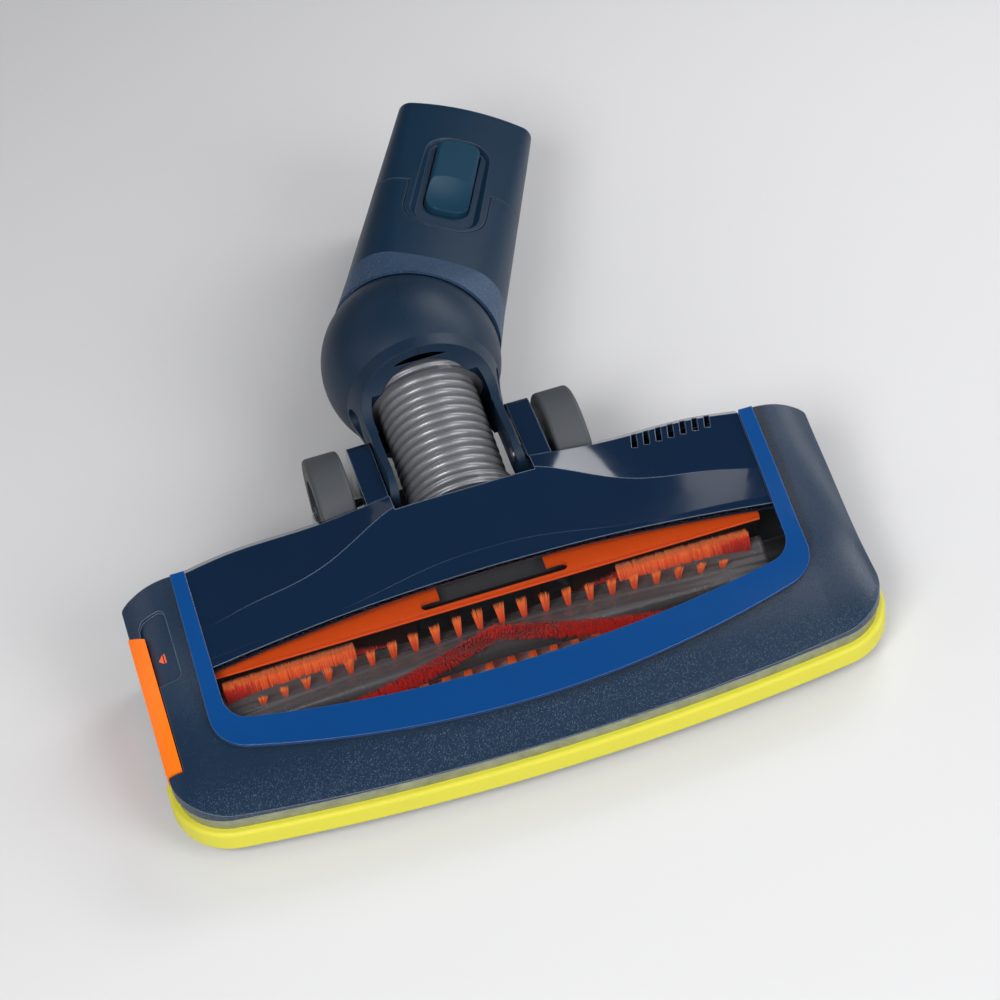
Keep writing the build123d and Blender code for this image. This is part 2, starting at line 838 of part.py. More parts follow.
def make_motor_pulley():
    """Motor shaft with its small pulley."""
    shaft = rod_x(motor_left_x + cradle_inset, drive_end_x, motor_y, motor_z, motor_shaft_radius)
    rim_end = belt_x + belt_width + rim_side
    return shaft + rod_x(belt_x - rim_side, rim_end, motor_y, motor_z, motor_pulley_radius)


def belt_loop(grow):
    """Side view of the belt's path round both pulleys."""
    small = Pos(motor_y, motor_z) * Circle(motor_pulley_radius + grow)
    large = Pos(roller_y, roller_z) * Circle(hub_radius + grow)
    return make_hull([*small.edges(), *large.edges()])


def make_belt():
    """Drive belt round the motor pulley and the roller's hub."""
    band = belt_loop(belt_slack + belt_wall) - belt_loop(belt_slack)
    return extrude(Plane.YZ.offset(belt_x) * band, amount=belt_width)


def hose_axis():
    """Axis of the hose from the head to the yoke."""
    y0, z0 = hose_start
    y1, z1 = hose_end
    return (0, y0, z0), (0, y1 - y0, z1 - z0), math.hypot(y1 - y0, z1 - z0)


def make_hose():
    """Corrugated hose: a zigzag wall turned about its axis."""
    start, run, length = hose_axis()
    count = int(length / hose_pitch)
    pitch = length / count
    valley = hose_radius - hose_depth
    outer = []
    for i in range(count):
        outer.append((valley, i * pitch))
        outer += [(hose_radius, (i + share) * pitch) for share in hose_flat]
    outer.append((valley, length))
    inner = [(r - hose_wall, s) for r, s in reversed(outer)]
    profile = make_face(Polyline(*outer, *inner, close=True))
    plane = Plane(start, x_dir=(1, 0, 0), z_dir=run)
    turned = revolve(Plane.XZ * profile, Axis.Z)
    return plane.location * turned


def cuff(along, outer):
    """Collar that holds one end of the hose."""
    start, run, length = hose_axis()
    plane = Plane(start, x_dir=(1, 0, 0), z_dir=run)
    ring = Circle(outer) - Circle(hose_radius)
    return plane.location * Pos(0, 0, along) * extrude(ring, amount=cuff_length)


def yoke_egg(inset):
    """Turned body of the yoke: a ball with a creased neck that narrows to the arms."""
    radius = ball_radius - inset
    neck = arm_half - inset
    reach = ball_y - yoke_crease_y
    crease = math.sqrt(radius**2 - reach**2)
    start = -math.degrees(math.atan2(reach, crease))
    rear = ball_y + radius
    axis = Line((0, rear), (0, yoke_front_y))
    arms = Polyline((0, yoke_front_y), (neck, yoke_front_y), (neck, yoke_knee_y), (crease, yoke_crease_y))
    profile = make_face([axis, arms, CenterArc((0, ball_y), radius, start, 90 - start)])
    return Pos(0, 0, ball_z) * revolve(profile, Axis.Y)


def yoke_side():
    """Side view that the yoke is trimmed to: pin boss, arms, arch and everything behind them."""
    boss = Pos(pivot_y, pivot_z) * Circle(yoke_boss_radius)
    top = (pivot_y, pivot_z + yoke_boss_radius)
    bottom = (pivot_y, pivot_z - yoke_boss_radius)
    rear = ball_y + 2 * ball_radius
    rest = Polyline(
        arm_top[-1],
        (arm_top[-1][0], ball_z + 2 * ball_radius),
        (rear, ball_z + 2 * ball_radius),
        (rear, ball_z - 2 * ball_radius),
        (arm_bottom[-1][0], ball_z - 2 * ball_radius),
        arm_bottom[-1],
    )
    chest = make_face([Spline(top, *arm_top), rest, Spline(bottom, *arm_bottom), Line(bottom, top)])
    return boss + chest


def make_yoke():
    """Both halves of the yoke before they are parted at the middle plane."""
    start, run, length = hose_axis()
    plane = Plane(start, x_dir=(1, 0, 0), z_dir=run)
    seat = plane.location * Pos(0, 0, length - cuff_length) * extrude(Circle(big / 4), amount=cuff_length)
    body = yoke_egg(0.0) - (yoke_egg(yoke_wall) - seat)
    body &= extrude(Plane.YZ.offset(-big / 2) * yoke_side(), amount=big)
    body -= plane.location * Pos(0, 0, -length) * extrude(Circle(hose_room), amount=2 * length)
    body -= block(-slot_half, slot_half, -big, yoke_knee_y, -big, big)
    body -= tube_place(extrude(Plane.XZ * Circle(air_hole_radius), amount=-big), turn=False)
    lean = math.radians(swivel_lean)
    pin_axis = Plane((0, ball_y, ball_z), x_dir=(1, 0, 0), z_dir=(0, math.sin(lean), -math.cos(lean)))
    body -= pin_axis.location * extrude(Circle(swivel_pin_radius + swivel_pin_fit), amount=big)
    notch = SlotCenterToCenter(notch_run, 2 * notch_radius)
    notch = extrude(Plane.YZ.offset(notch_x) * Pos(notch_y, notch_z) * notch, amount=big)
    body -= both_sides(notch)
    return body - rod_x(-big, big, pivot_y, pivot_z, pin_radius + pin_fit)


def half_of(part, side):
    """The left (-1) or right (+1) half of a part."""
    return part & block(min(0, side * big), max(0, side * big), -big, big, -big, big)


def tube_place(part, turn=True):
    """Put a piece of the tube, built straight back from the origin, into its resting place."""
    placed = Pos(0, ball_y, ball_z) * Rot(-tube_drop, 0, 0) * part
    if not turn:
        return placed
    lean = math.radians(swivel_lean)
    axis = Axis((0, ball_y, ball_z), (0, -math.sin(lean), math.cos(lean)))
    return placed.rotate(axis, -swivel_rest)


def tube_face(half, share):
    """Section of the tube: four bowed sides whose corners are rounded by a share of its height."""
    high = half * tube_flatness
    x = half * (1 - tube_bow_side)
    z = high - half * tube_bow_top
    top = ThreePointArc((-x, z), (0, high), (x, z))
    right = ThreePointArc((x, z), (half, 0), (x, -z))
    bottom = ThreePointArc((x, -z), (0, -high), (-x, -z))
    left = ThreePointArc((-x, -z), (-half, 0), (-x, z))
    face = outline(top, right, bottom, left)
    return fillet(face.vertices(), high * share)


def collar_plane():
    """Plane where the collar meets the lower sleeve; its upper side leans back."""
    lean = math.radians(collar_tilt)
    return Plane((0, collar_y, 0), x_dir=(1, 0, 0), z_dir=(0, -math.cos(lean), math.sin(lean)))


def tube_body(inset):
    """Outer form of both sleeves, thinned by the inset."""
    front = collar_plane() * tube_face(collar_half - inset, collar_round)
    middle = Plane.XZ.offset(-sleeve_y) * tube_face(sleeve_half - inset, sleeve_round)
    rear = Plane.XZ.offset(-mouth_y) * tube_face(mouth_half - inset, mouth_round)
    return loft([front, middle]) + loft([middle, rear])


def along_y(radius, y0, y1):
    """Round bar along the tube."""
    return extrude(Plane.XZ.offset(-y0) * Circle(radius), amount=-(y1 - y0))


def ball_socket():
    """Ball-shaped room in the tube's front end."""
    return Sphere(ball_radius + socket_gap)


def mouth_zone(grow=0.0):
    """Part of the tube that belongs to the mouth sleeve: everything behind the parting line."""
    rear = block(-big, big, sleeve_y - grow, big, -big, big)
    half = tongue_half + grow
    tongue = RectangleRounded(2 * half, 4 * tongue_dip + 2 * grow, half * tongue_round)
    return rear + upright(Pos(0, sleeve_y + tongue_dip) * tongue, duct_radius / 2, big)


def sleeves():
    """Tube wall from collar to mouth, bored through."""
    body = tube_body(0.0) - along_y(bore_radius, mouth_y - bore_depth, mouth_y + 1)
    return body - along_y(duct_radius, 0, mouth_y)


def top_z(y):
    """Height of the tube's upper face above its axis."""
    share = (y - sleeve_y) / (mouth_y - sleeve_y)
    return tube_flatness * (sleeve_half + (mouth_half - sleeve_half) * share)


def button_well():
    """Flared recess round the button."""
    low = Plane.XY.offset(top_z(button_y) - well_depth) * Pos(0, well_y)
    floor = RectangleRounded(2 * well_half, well_length, well_corner)
    width = 2 * (well_half + well_flare)
    brim = RectangleRounded(width, well_length + 2 * well_flare, well_corner + well_flare)
    return loft([low * floor, low * Pos(0, 0, well_flare) * brim])


def make_mouth():
    """Mouth sleeve with the button's well."""
    sleeve = sleeves() & mouth_zone()
    sleeve -= button_well()
    sleeve -= make_contacts()
    return sleeve - button_form(button_gap, button_travel + button_gap)


def button_form(grow, sink):
    """Button outline as a solid; grown and sunk for its hole."""
    size = (2 * (button_half + grow), button_length + 2 * grow)
    face = RectangleRounded(*size, button_corner + grow)
    low = top_z(button_y) - button_depth - sink
    return upright(Pos(0, button_y) * face, low, top_z(button_y) + button_proud)


def make_button():
    """Release button with a thumb dimple that runs out at its lower end."""
    button = button_form(0.0, 0.0)
    top = button.faces().sort_by(Axis.Z)[-1]
    button = fillet(top.edges(), button_edge)
    radius = (dimple_reach**2 + dimple_depth**2) / (2 * dimple_depth)
    floor = top_z(button_y) + button_proud - dimple_depth
    return button - Pos(0, dimple_y, floor + radius) * Sphere(radius)


def make_base_sleeve():
    """Lower sleeve with the round swivel seat under the ball."""
    sleeve = sleeves() - mouth_zone()
    sleeve -= mouth_zone(groove_width) - tube_body(groove_depth)
    sleeve -= ball_socket()
    pin_hole = extrude(Circle(swivel_pin_radius), amount=big)
    return sleeve + swivel_seat() - seat_plane().location * pin_hole


def seat_plane():
    """Plane at the ball's centre whose normal runs down along the swivel axis, in the tube's frame."""
    lean = math.radians(swivel_lean + tube_drop)
    return Plane((0, 0, 0), x_dir=(1, 0, 0), z_dir=(0, math.sin(lean), -math.cos(lean)))


def seat_cone(play):
    """Cone round the swivel axis that bounds the cap."""
    spread = math.tan(math.radians(swivel_cap_angle + play))
    cone = Cone(0.0, big * spread, big, align=(Align.CENTER, Align.CENTER, Align.MIN))
    return seat_plane().location * cone


def swivel_seat():
    """Ball-shaped cap round the swivel axis, joined to the lower sleeve by a bridge."""
    outer = ball_radius + socket_gap + swivel_cap_wall
    cap = (Sphere(outer) - ball_socket()) & seat_cone(0.0)
    low = -collar_half * tube_flatness
    bridge = block(-bridge_half, bridge_half, bridge_front, collar_y + bridge_reach, low, low / 2)
    bridge -= ball_socket()
    return cap + bridge - along_y(duct_radius, 0, mouth_y)


def make_collar():
    """Textured collar that leads from the round rim to the tube's bowed section."""
    rim = RectangleRounded(2 * rim_radius, 2 * rim_radius, rim_radius * nearly_round)
    ring = loft([Plane.XZ.offset(-rim_y) * rim, collar_plane() * tube_face(collar_half, collar_round)])
    ring -= ball_socket()
    ring -= seat_cone(swivel_cap_play)
    half = bridge_half + bridge_play
    return ring - block(-half, half, 0, big, -big, -collar_half * bridge_rise)


def make_swivel_pin():
    """Steel pin of the swivel, from the seat into the ball."""
    start = ball_radius - yoke_wall - swivel_pin_reach
    end = ball_radius + socket_gap + swivel_cap_wall
    pin = extrude(Circle(swivel_pin_radius), amount=end - start)
    return seat_plane().location * Pos(0, 0, start) * pin


def make_contacts():
    """Contact pins at the mouth."""
    pins = Part()
    end = mouth_y - contact_setback
    pin = along_y(contact_radius, end - contact_length, end)
    for i in (-1, 0, 1):
        pins += Pos(contact_pitch * i, 0, -bore_radius - contact_radius - contact_web) * pin
    return pins


def make_pins():
    """Steel pins on which the yoke pitches, set in the ears."""
    ear_outer = arm_half + ear_gap + ear_thickness
    return both_sides(rod_x(hose_room + pin_start, ear_outer, pivot_y, pivot_z, pin_radius))


def make_axles():
    """Wheel axles with flat heads outside the wheels."""
    ear_inner = arm_half + ear_gap
    outer = wheel_inner_x + wheel_width
    head_x = outer + axle_head_gap
    thick, overhang = axle_head
    axle = rod_x(ear_inner + axle_seat, head_x, axle_y, wheel_radius, axle_radius)
    head = rod_x(head_x, head_x + thick, axle_y, wheel_radius, axle_radius + overhang)
    rim = head.edges().filter_by(GeomType.CIRCLE).sort_by(Axis.X)[-1]
    return both_sides(axle + fillet(rim, axle_head_edge))


def make_wheel_hub():
    """Right wheel's hub with a dished outer face."""
    outer = wheel_inner_x + wheel_width
    hub = rod_x(wheel_inner_x, outer, axle_y, wheel_radius, wheel_radius - tyre_depth)
    dish = rod_x(outer - dish_depth, outer, axle_y, wheel_radius, wheel_radius - tyre_depth - dish_rim)
    boss = rod_x(outer - dish_depth, outer, axle_y, wheel_radius, axle_radius + hub_boss)
    return hub - dish + boss - rod_x(0, big, axle_y, wheel_radius, axle_radius + axle_fit)


def make_tyre():
    """Right wheel's soft tyre with rounded edges."""
    outer = wheel_inner_x + wheel_width
    tyre = rod_x(wheel_inner_x, outer, axle_y, wheel_radius, wheel_radius)
    tyre = fillet(tyre.edges().filter_by(GeomType.CIRCLE), wheel_edge)
    return tyre - rod_x(0, big, axle_y, wheel_radius, wheel_radius - tyre_depth)


def latch_plan(grow):
    """Plan of the latch: its rear end slants back towards the outer edge."""
    inner = -latch_inner_x + grow
    outer = -hood_half - latch_slant
    plan = Polyline(
        (inner, latch_front_y - grow),
        (inner, latch_rear_y + grow),
        (outer, latch_rear_y + grow + (inner - outer) * latch_slope),
        (outer, latch_front_y - grow),
        close=True,
    )
    return make_face(plan)


def make_latch():
    """Brush release latch that follows the hood's left edge."""
    zone = upright(latch_plan(0.0), latch_base_z, big)
    zone -= block(-big, 0, -big, bumper_end_y + latch_gap, 0, hood_front_z + latch_gap)
    return crown_form(-latch_proud) & upright(hood_plan(-latch_proud), 0, big) & zone


def make_felt():
    """Red bristle strip under the front lip."""
    plan = offset(hood_plan(0), -felt_inset) - offset(hood_plan(0), -felt_inset - felt_depth)
    strip = upright(plan, 0, sole_bottom)
    return strip & block(-felt_half, felt_half, -big, caster_y, 0, big)


def screw_blanks():
    """Countersunk seats of the sole screws."""
    seat = Cylinder(screw_radius, screw_length)
    return Compound(children=[Pos(x, y, sole_bottom + screw_length / 2) * seat for x, y in screw_places])


def make_screws():
    """Flush screw heads in the sole, each with a cross slot."""
    heads = []
    slot = Box(*screw_slot, screw_length) + Box(*reversed(screw_slot), screw_length)
    for x, y in screw_places:
        head = Pos(x, y, sole_bottom + screw_length / 2) * Cylinder(screw_radius, screw_length)
        heads.append(head - Pos(x, y, sole_bottom) * slot)
    return Compound(children=heads)


def build():
    """Every piece of the head, by node name."""
    outer = crown_form(0.0)
    inner = crown_form(hood_wall)
    yoke = make_yoke()
    wheel_hub = make_wheel_hub()
    tyre = make_tyre()
    return {
        "hood": make_hood(outer, inner),
        "accent_frame": make_frame(),
        "window": make_window(),
        "top_cover": make_cover(),
        "bumper": make_bumper(),
        "light_lens": make_lens(),
        "light_board": make_led_board(),
        "light_chips": make_leds(),
        "sole_plate": make_sole(),
        "brush_tunnel": make_tunnel(),
        "air_duct": make_duct(),
        "front_felt": make_felt(),
        "sole_screws": make_screws(),
        "left_front_roller": make_casters(-caster_x),
        "right_front_roller": make_casters(caster_x),
        "front_roller_axles": make_caster_axles(),
        "roller_core": make_core(),
        "roller_shaft": make_shaft(),
        "roller_end_cap": make_roller_cap(),
        "roller_drive_hub": make_roller_hub(),
        "bristle_tufts": make_tufts(),
        "bristle_strips": make_strips(strip_angle_end, strip_width, brush_radius - strip_short),
        "plush_strips": make_strips(plush_angle_end, plush_width, brush_radius - plush_short),
        "left_bearing": make_bearing(core_left_x - cap_length - shaft_reach),
        "right_bearing": make_bearing(drive_end_x + shaft_reach - bearing_length),
        "drive_motor": make_motor(),
        "motor_cradle": make_motor_cradle(),
        "motor_pulley": make_motor_pulley(),
        "drive_belt": make_belt(),
        "pivot_pins": make_pins(),
        "wheel_axles": make_axles(),
        "right_wheel_hub": wheel_hub,
        "right_wheel_tyre": tyre,
        "left_wheel_hub": mirror(wheel_hub, Plane.YZ),
        "left_wheel_tyre": mirror(tyre, Plane.YZ),
        "brush_latch": make_latch(),
        "left_yoke_half": half_of(yoke, -1),
        "right_yoke_half": half_of(yoke, 1),
        "hose": make_hose(),
        "hose_lower_cuff": cuff(0.0, hose_radius + cuff_wall),
        "hose_upper_cuff": cuff(hose_axis()[2] - cuff_length, hose_room),
        "swivel_collar": tube_place(make_collar()),
        "tube_base": tube_place(make_base_sleeve()),
        "tube_mouth": tube_place(make_mouth()),
        "release_button": tube_place(make_button()),
        "swivel_pin": tube_place(make_swivel_pin()),
        "contact_pins": tube_place(make_contacts()),
    }


def main():
    """Build the head, centre it and write one file per node."""
    pieces = build()
    whole = Compound(children=[Compound(children=p.solids()) for p in pieces.values()]).bounding_box()
    shift_y = -(whole.min.Y + whole.max.Y) / 2
    os.makedirs("parts", exist_ok=True)
    for name, piece in pieces.items():
        export_step(Pos(0, shift_y, 0) * Compound(children=piece.solids()), f"parts/{name}.step")
    print("shift y", round(shift_y, 4), "low", whole.min, "high", whole.max)


main()
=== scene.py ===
"""Dressed model of a vacuum cleaner's floor head: finishes, bristles, pile, hose and studio."""

import json
import logging
import math
from dataclasses import dataclass, field
from enum import Enum
from typing import Any, Sequence

import bpy
import numpy as np
from mathutils import Matrix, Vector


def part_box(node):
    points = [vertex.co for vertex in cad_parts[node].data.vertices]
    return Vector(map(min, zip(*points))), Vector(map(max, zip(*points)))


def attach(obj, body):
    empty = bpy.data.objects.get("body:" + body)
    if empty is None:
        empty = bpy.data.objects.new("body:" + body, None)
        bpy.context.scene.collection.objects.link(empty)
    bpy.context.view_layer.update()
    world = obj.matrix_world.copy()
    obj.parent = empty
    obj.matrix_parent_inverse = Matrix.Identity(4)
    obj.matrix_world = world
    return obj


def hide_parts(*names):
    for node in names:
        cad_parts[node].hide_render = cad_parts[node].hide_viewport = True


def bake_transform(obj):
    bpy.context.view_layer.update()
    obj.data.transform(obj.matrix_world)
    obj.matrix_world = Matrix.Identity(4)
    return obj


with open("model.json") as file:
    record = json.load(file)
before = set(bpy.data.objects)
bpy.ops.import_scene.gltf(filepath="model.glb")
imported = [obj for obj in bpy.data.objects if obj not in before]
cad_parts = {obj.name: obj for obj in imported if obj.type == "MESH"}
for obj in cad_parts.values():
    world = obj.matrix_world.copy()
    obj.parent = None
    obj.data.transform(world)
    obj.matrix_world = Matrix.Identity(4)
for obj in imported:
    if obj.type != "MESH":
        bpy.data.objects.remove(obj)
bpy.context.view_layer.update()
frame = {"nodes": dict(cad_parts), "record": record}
log = logging.getLogger("floor_head")

MM = 0.001
# Colour of the painted highlight laid along sharp edges.
EDGE_HIGHLIGHT = (150, 166, 190)
CLOUD_MM = 28.0
WEAR_MM = 9.0
COAT_ROUGHNESS = 0.06
HOOD_REAR_MM = 15.2
HOSE_START_MM = (5.0, 31.0)
HOSE_END_MM = (55.0, 44.6)
Number = float | int


def linear(rgb: Sequence[int]) -> tuple[float, float, float, float]:
    """Turn a colour written as 0 to 255 display values into linear light.

    Args:
        rgb: red, green and blue as the eye reads them off a screen.

    Returns:
        Linear red, green, blue and an alpha of 1.
    """
    share = [v / 255 for v in rgb]
    low_high = [v / 12.92 if v <= 0.04045 else ((v + 0.055) / 1.055) ** 2.4 for v in share]
    return (*low_high, 1.0)


class Sock:
    """A shader output that takes part in Python expressions; each step adds a Math node."""

    def __init__(self, graph: "Graph", socket: bpy.types.NodeSocket) -> None:
        """Keep the graph and the socket that it wraps."""
        self.graph = graph
        self.socket = socket

    def maths(self, operation: str, *others: "Sock | Number", first: bool = True) -> "Sock":
        """Add a Math node.

        Args:
            operation: the node's operation.
            others: the further operands.
            first: whether this socket is the first operand.

        Returns:
            The node's result.
        """
        operands = [self, *others] if first else [*others, self]
        return self.graph.add("ShaderNodeMath", {"operation": operation}, dict(enumerate(operands)))

    def __add__(self, other: "Sock | Number") -> "Sock":
        """Sum."""
        return self.maths("ADD", other)

    __radd__ = __add__

    def __mul__(self, other: "Sock | Number") -> "Sock":
        """Product."""
        return self.maths("MULTIPLY", other)

    __rmul__ = __mul__

    def __sub__(self, other: "Sock | Number") -> "Sock":
        """Difference."""
        return self.maths("SUBTRACT", other)

    def __rsub__(self, other: "Sock | Number") -> "Sock":
        """Difference with this socket second."""
        return self.maths("SUBTRACT", other, first=False)

    def __truediv__(self, other: "Sock | Number") -> "Sock":
        """Quotient."""
        return self.maths("DIVIDE", other)

    def __rtruediv__(self, other: "Sock | Number") -> "Sock":
        """Quotient with this socket second."""
        return self.maths("DIVIDE", other, first=False)

    def __pow__(self, other: "Sock | Number") -> "Sock":
        """Power."""
        return self.maths("POWER", other)

    def __abs__(self) -> "Sock":
        """Size without sign."""
        return self.maths("ABSOLUTE")

    def __gt__(self, other: "Sock | Number") -> "Sock":
        """1 where this is above the other, 0 elsewhere."""
        return self.maths("GREATER_THAN", other)

    def __lt__(self, other: "Sock | Number") -> "Sock":
        """1 where this is below the other, 0 elsewhere."""
        return self.maths("LESS_THAN", other)

    def at_least(self, low: "Sock | Number") -> "Sock":
        """The larger of this and a lower bound."""
        return self.maths("MAXIMUM", low)

    def sine(self) -> "Sock":
        """Sine of an angle in radians."""
        return self.maths("SINE")

    def ease(self, low: Number, high: Number) -> "Sock":
        """Smooth step: 0 at low, 1 at high.

        Args:
            low: value that gives 0.
            high: value that gives 1.

        Returns:
            The eased share.
        """
        ends = {"Value": self, "From Min": low, "From Max": high, "To Min": 0.0, "To Max": 1.0}
        return self.graph.add("ShaderNodeMapRange", {"interpolation_type": "SMOOTHSTEP"}, ends)


class Graph:
    """One material's node tree with its Principled shader."""

    def __init__(self, name: str) -> None:
        """Start a material with an empty tree, a shader and an output."""
        self.material = bpy.data.materials.new(name)
        self.material.use_nodes = True
        self.tree = self.material.node_tree
        self.tree.nodes.clear()
        self.out = self.tree.nodes.new("ShaderNodeOutputMaterial")
        self.shader = self.tree.nodes.new("ShaderNodeBsdfPrincipled")
        self.tree.links.new(self.shader.outputs[0], self.out.inputs["Surface"])

    def plug(self, socket: bpy.types.NodeSocket, value: Any) -> None:
        """Link a Sock to an input, or set the input's own value."""
        if isinstance(value, Sock):
            self.tree.links.new(value.socket, socket)
        else:
            socket.default_value = value

    def add(self, kind: str, settings: dict[str, Any] | None = None,
            values: dict[Any, Any] | None = None, out: int | str = 0) -> Sock:
        """Add any node.

        Args:
            kind: the node's type.
            settings: properties that are set first.
            values: input name or number to its value or link.
            out: the output to hand back.

        Returns:
            That output.
        """
        node = self.tree.nodes.new(kind)
        for key, value in (settings or {}).items():
            setattr(node, key, value)
        for key, value in (values or {}).items():
            self.plug(node.inputs[key], value)
        return Sock(self, node.outputs[out])

    def place(self) -> Sock:
        """Position on the piece, in metres in the shared frame."""
        return self.add("ShaderNodeTexCoord", out="Object")

    def axes(self) -> tuple[Sock, Sock, Sock]:
        """Position split into x, y and z."""
        point = self.place()
        split = [self.add("ShaderNodeSeparateXYZ", values={0: point}, out=i) for i in range(3)]
        return split[0], split[1], split[2]

    def noise(self, size_mm: float, detail: float = 2.0, rough: float = 0.5) -> Sock:
        """Cloudy noise with features of the given size."""
        values = {"Vector": self.place(), "Scale": 1 / (size_mm * MM), "Detail": detail}
        return self.add("ShaderNodeTexNoise", values={**values, "Roughness": rough})

    def cells(self, size_mm: float, out: str = "Color") -> Sock:
        """Random value or distance per cell of the given size."""
        values = {"Vector": self.place(), "Scale": 1 / (size_mm * MM)}
        return self.add("ShaderNodeTexVoronoi", values=values, out=out)

    def mix(self, share: Sock | float, a: Any, b: Any) -> Sock:
        """Blend two colours by a share."""
        values = {0: share, 6: a, 7: b}
        return self.add("ShaderNodeMix", {"data_type": "RGBA"}, values, out=2)

    def rounded(self, edge_mm: float) -> Sock:
        """Normal that rounds sharp edges by the given radius."""
        return self.add("ShaderNodeBevel", {"samples": 4}, {"Radius": edge_mm * MM})

    def on_edge(self, rounded: Sock) -> Sock:
        """1 along sharp edges, where the rounded normal leaves the surface's own."""
        own = self.add("ShaderNodeNewGeometry", out="Normal")
        dot = {"operation": "DOT_PRODUCT"}
        match = self.add("ShaderNodeVectorMath", dot, {0: rounded, 1: own}, out="Value")
        return (1 - match).ease(0.001, 0.02)

    def bump(self, height: Sock, depth_mm: float, under: Sock | None = None) -> Sock:
        """Bump normal from a height that runs from 0 to 1, laid over another normal."""
        values = {"Height": height, "Distance": depth_mm * MM, "Strength": 1.0}
        if under:
            values["Normal"] = under
        return self.add("ShaderNodeBump", values=values)

    def shade(self, **sockets: Any) -> None:
        """Set the shader's sockets; underscores stand for spaces in their names."""
        for name, value in sockets.items():
            self.plug(self.shader.inputs[name.replace("_", " ")], value)


@dataclass(frozen=True)
class Plastic:
    """Moulded plastic: a fine grain or orange peel, faint cloudiness, an optional clear coat, painted
    highlights along sharp edges and an optional painted glow.
    """

    name: str
    colour: tuple[int, int, int]
    roughness: float = 0.4
    grain_mm: float = 0.5
    grain_depth: float = 0.02
    cloud: float = 0.1
    coat: float = 0.0
    metallic: float = 0.0
    edge_mm: float = 0.0
    edge_highlight: float = 0.0
    specular: float = 0.5
    glow: float = 0.0

    def graph(self) -> Graph:
        """Build the material.

        Returns:
            Its graph, for finishes that add to it.
        """
        g = Graph(self.name)
        base = linear(self.colour)
        dark = tuple(c * (1 - self.cloud) for c in base[:3]) + (1.0,)
        light = tuple(min(1.0, c * (1 + self.cloud)) for c in base[:3]) + (1.0,)
        wide = g.noise(CLOUD_MM, 3.0)
        fine = g.noise(self.grain_mm, 2.0)
        colour = g.mix(wide, dark, light)
        under = None
        if self.edge_mm:
            under = g.rounded(self.edge_mm)
            # Painted highlight: sharp edges are lightened in the base colour, standing in for light
            # caught by small rounded edges.
            colour = g.mix(g.on_edge(under) * self.edge_highlight, colour, linear(EDGE_HIGHLIGHT))
        rough = self.roughness * (0.85 + 0.3 * g.noise(WEAR_MM, 4.0))
        g.shade(Base_Color=colour, Roughness=rough, Metallic=self.metallic, Coat_Weight=self.coat)
        g.shade(Coat_Roughness=COAT_ROUGHNESS, Normal=g.bump(fine, self.grain_depth, under))
        # Painted light: the emission makes the plastic glow although it is no lamp.
        g.shade(Specular_IOR_Level=self.specular, Emission_Color=colour, Emission_Strength=self.glow)
        return g

    def material(self) -> bpy.types.Material:
        """The finished material."""
        return self.graph().material


@dataclass(frozen=True)
class SeamedPlastic(Plastic):
    """Moulded plastic in two halves, with a fine dark groove on the plane x = 0."""

    seam_mm: float = 0.16

    def material(self) -> bpy.types.Material:
        """The finished material."""
        g = self.graph()
        x, _, _ = g.axes()
        groove = 1 - abs(x).ease(self.seam_mm * MM * 0.4, self.seam_mm * MM)
        base = linear(self.colour)
        dark = tuple(c * 0.45 for c in base[:3]) + (1.0,)
        g.shade(Base_Color=g.mix(groove, base, dark))
        return g.material


@dataclass(frozen=True)
class RibbedPlastic(Plastic):
    """Moulded plastic with round ribs square to an axis that rises from +Y."""

    pitch_mm: float = 3.45
    slope: float = 15.2
    rib_mm: float = 1.0

    def material(self) -> bpy.types.Material:
        """The finished material: a sine of the way along the axis lifts the ribs."""
        g = self.graph()
        _, y, z = g.axes()
        way = y * math.cos(math.radians(self.slope)) + z * math.sin(math.radians(self.slope))
        wave = 0.5 + 0.5 * (way * (2 * math.pi / (self.pitch_mm * MM))).sine()
        g.shade(Normal=g.bump(wave, self.rib_mm))
        return g.material


@dataclass(frozen=True)
class ShadedBelowPlastic(Plastic):
    """Moulded plastic whose lower part is painted dark, standing in for the shade inside the brush
    tunnel.
    """

    shade_line_mm: float = 27.4
    painted_shade_colour: tuple[int, int, int] = (34, 30, 30)

    def material(self) -> bpy.types.Material:
        """The finished material: the painted shade lies below the given height."""
        g = self.graph()
        _, _, z = g.axes()
        # Painted shade: below the ledge the plate is coloured dark where shade falls in the tunnel.
        above = z.ease((self.shade_line_mm - 0.2) * MM, (self.shade_line_mm + 0.2) * MM)
        g.shade(Base_Color=g.mix(above, linear(self.painted_shade_colour), linear(self.colour)))
        return g.material


@dataclass(frozen=True)
class SparkleShell(Plastic):
    """Textured shell with mineral flakes that catch the light."""

    flake_mm: float = 0.32
    flake_share: float = 0.86
    flake_colour: tuple[int, int, int] = (110, 132, 160)

    def tone(self, g: Graph, flake: Sock) -> Sock:
        """Cloudy base colour with the flakes on it."""
        base = linear(self.colour)
        cloudy = g.mix(g.noise(22.0, 3.0), tuple(c * 0.85 for c in base[:3]) + (1.0,), base)
        return g.mix(flake, cloudy, linear(self.flake_colour))

    def material(self) -> bpy.types.Material:
        """The finished material: flakes are the cells whose random value passes the share."""
        g = Graph(self.name)
        lot = g.add("ShaderNodeSeparateColor", values={0: g.cells(self.flake_mm)})
        near = g.cells(self.flake_mm, "Distance")
        flake = (lot > self.flake_share) * (near < 0.45)
        colour = self.tone(g, flake)
        under = None
        if self.edge_mm:
            under = g.rounded(self.edge_mm)
            # Painted highlight: sharp edges are lightened in the base colour, standing in for light
            # caught by small rounded edges.
            colour = g.mix(g.on_edge(under) * self.edge_highlight, colour, linear(EDGE_HIGHLIGHT))
        g.shade(Base_Color=colour, Roughness=self.roughness - 0.15 * flake, Metallic=0.5 * flake)
        g.shade(Specular_IOR_Level=self.specular)
        pebble = 0.6 * g.noise(self.grain_mm, 2.0) + 0.4 * lot
        g.shade(Normal=g.bump(pebble, self.grain_depth, under))
        return g.material


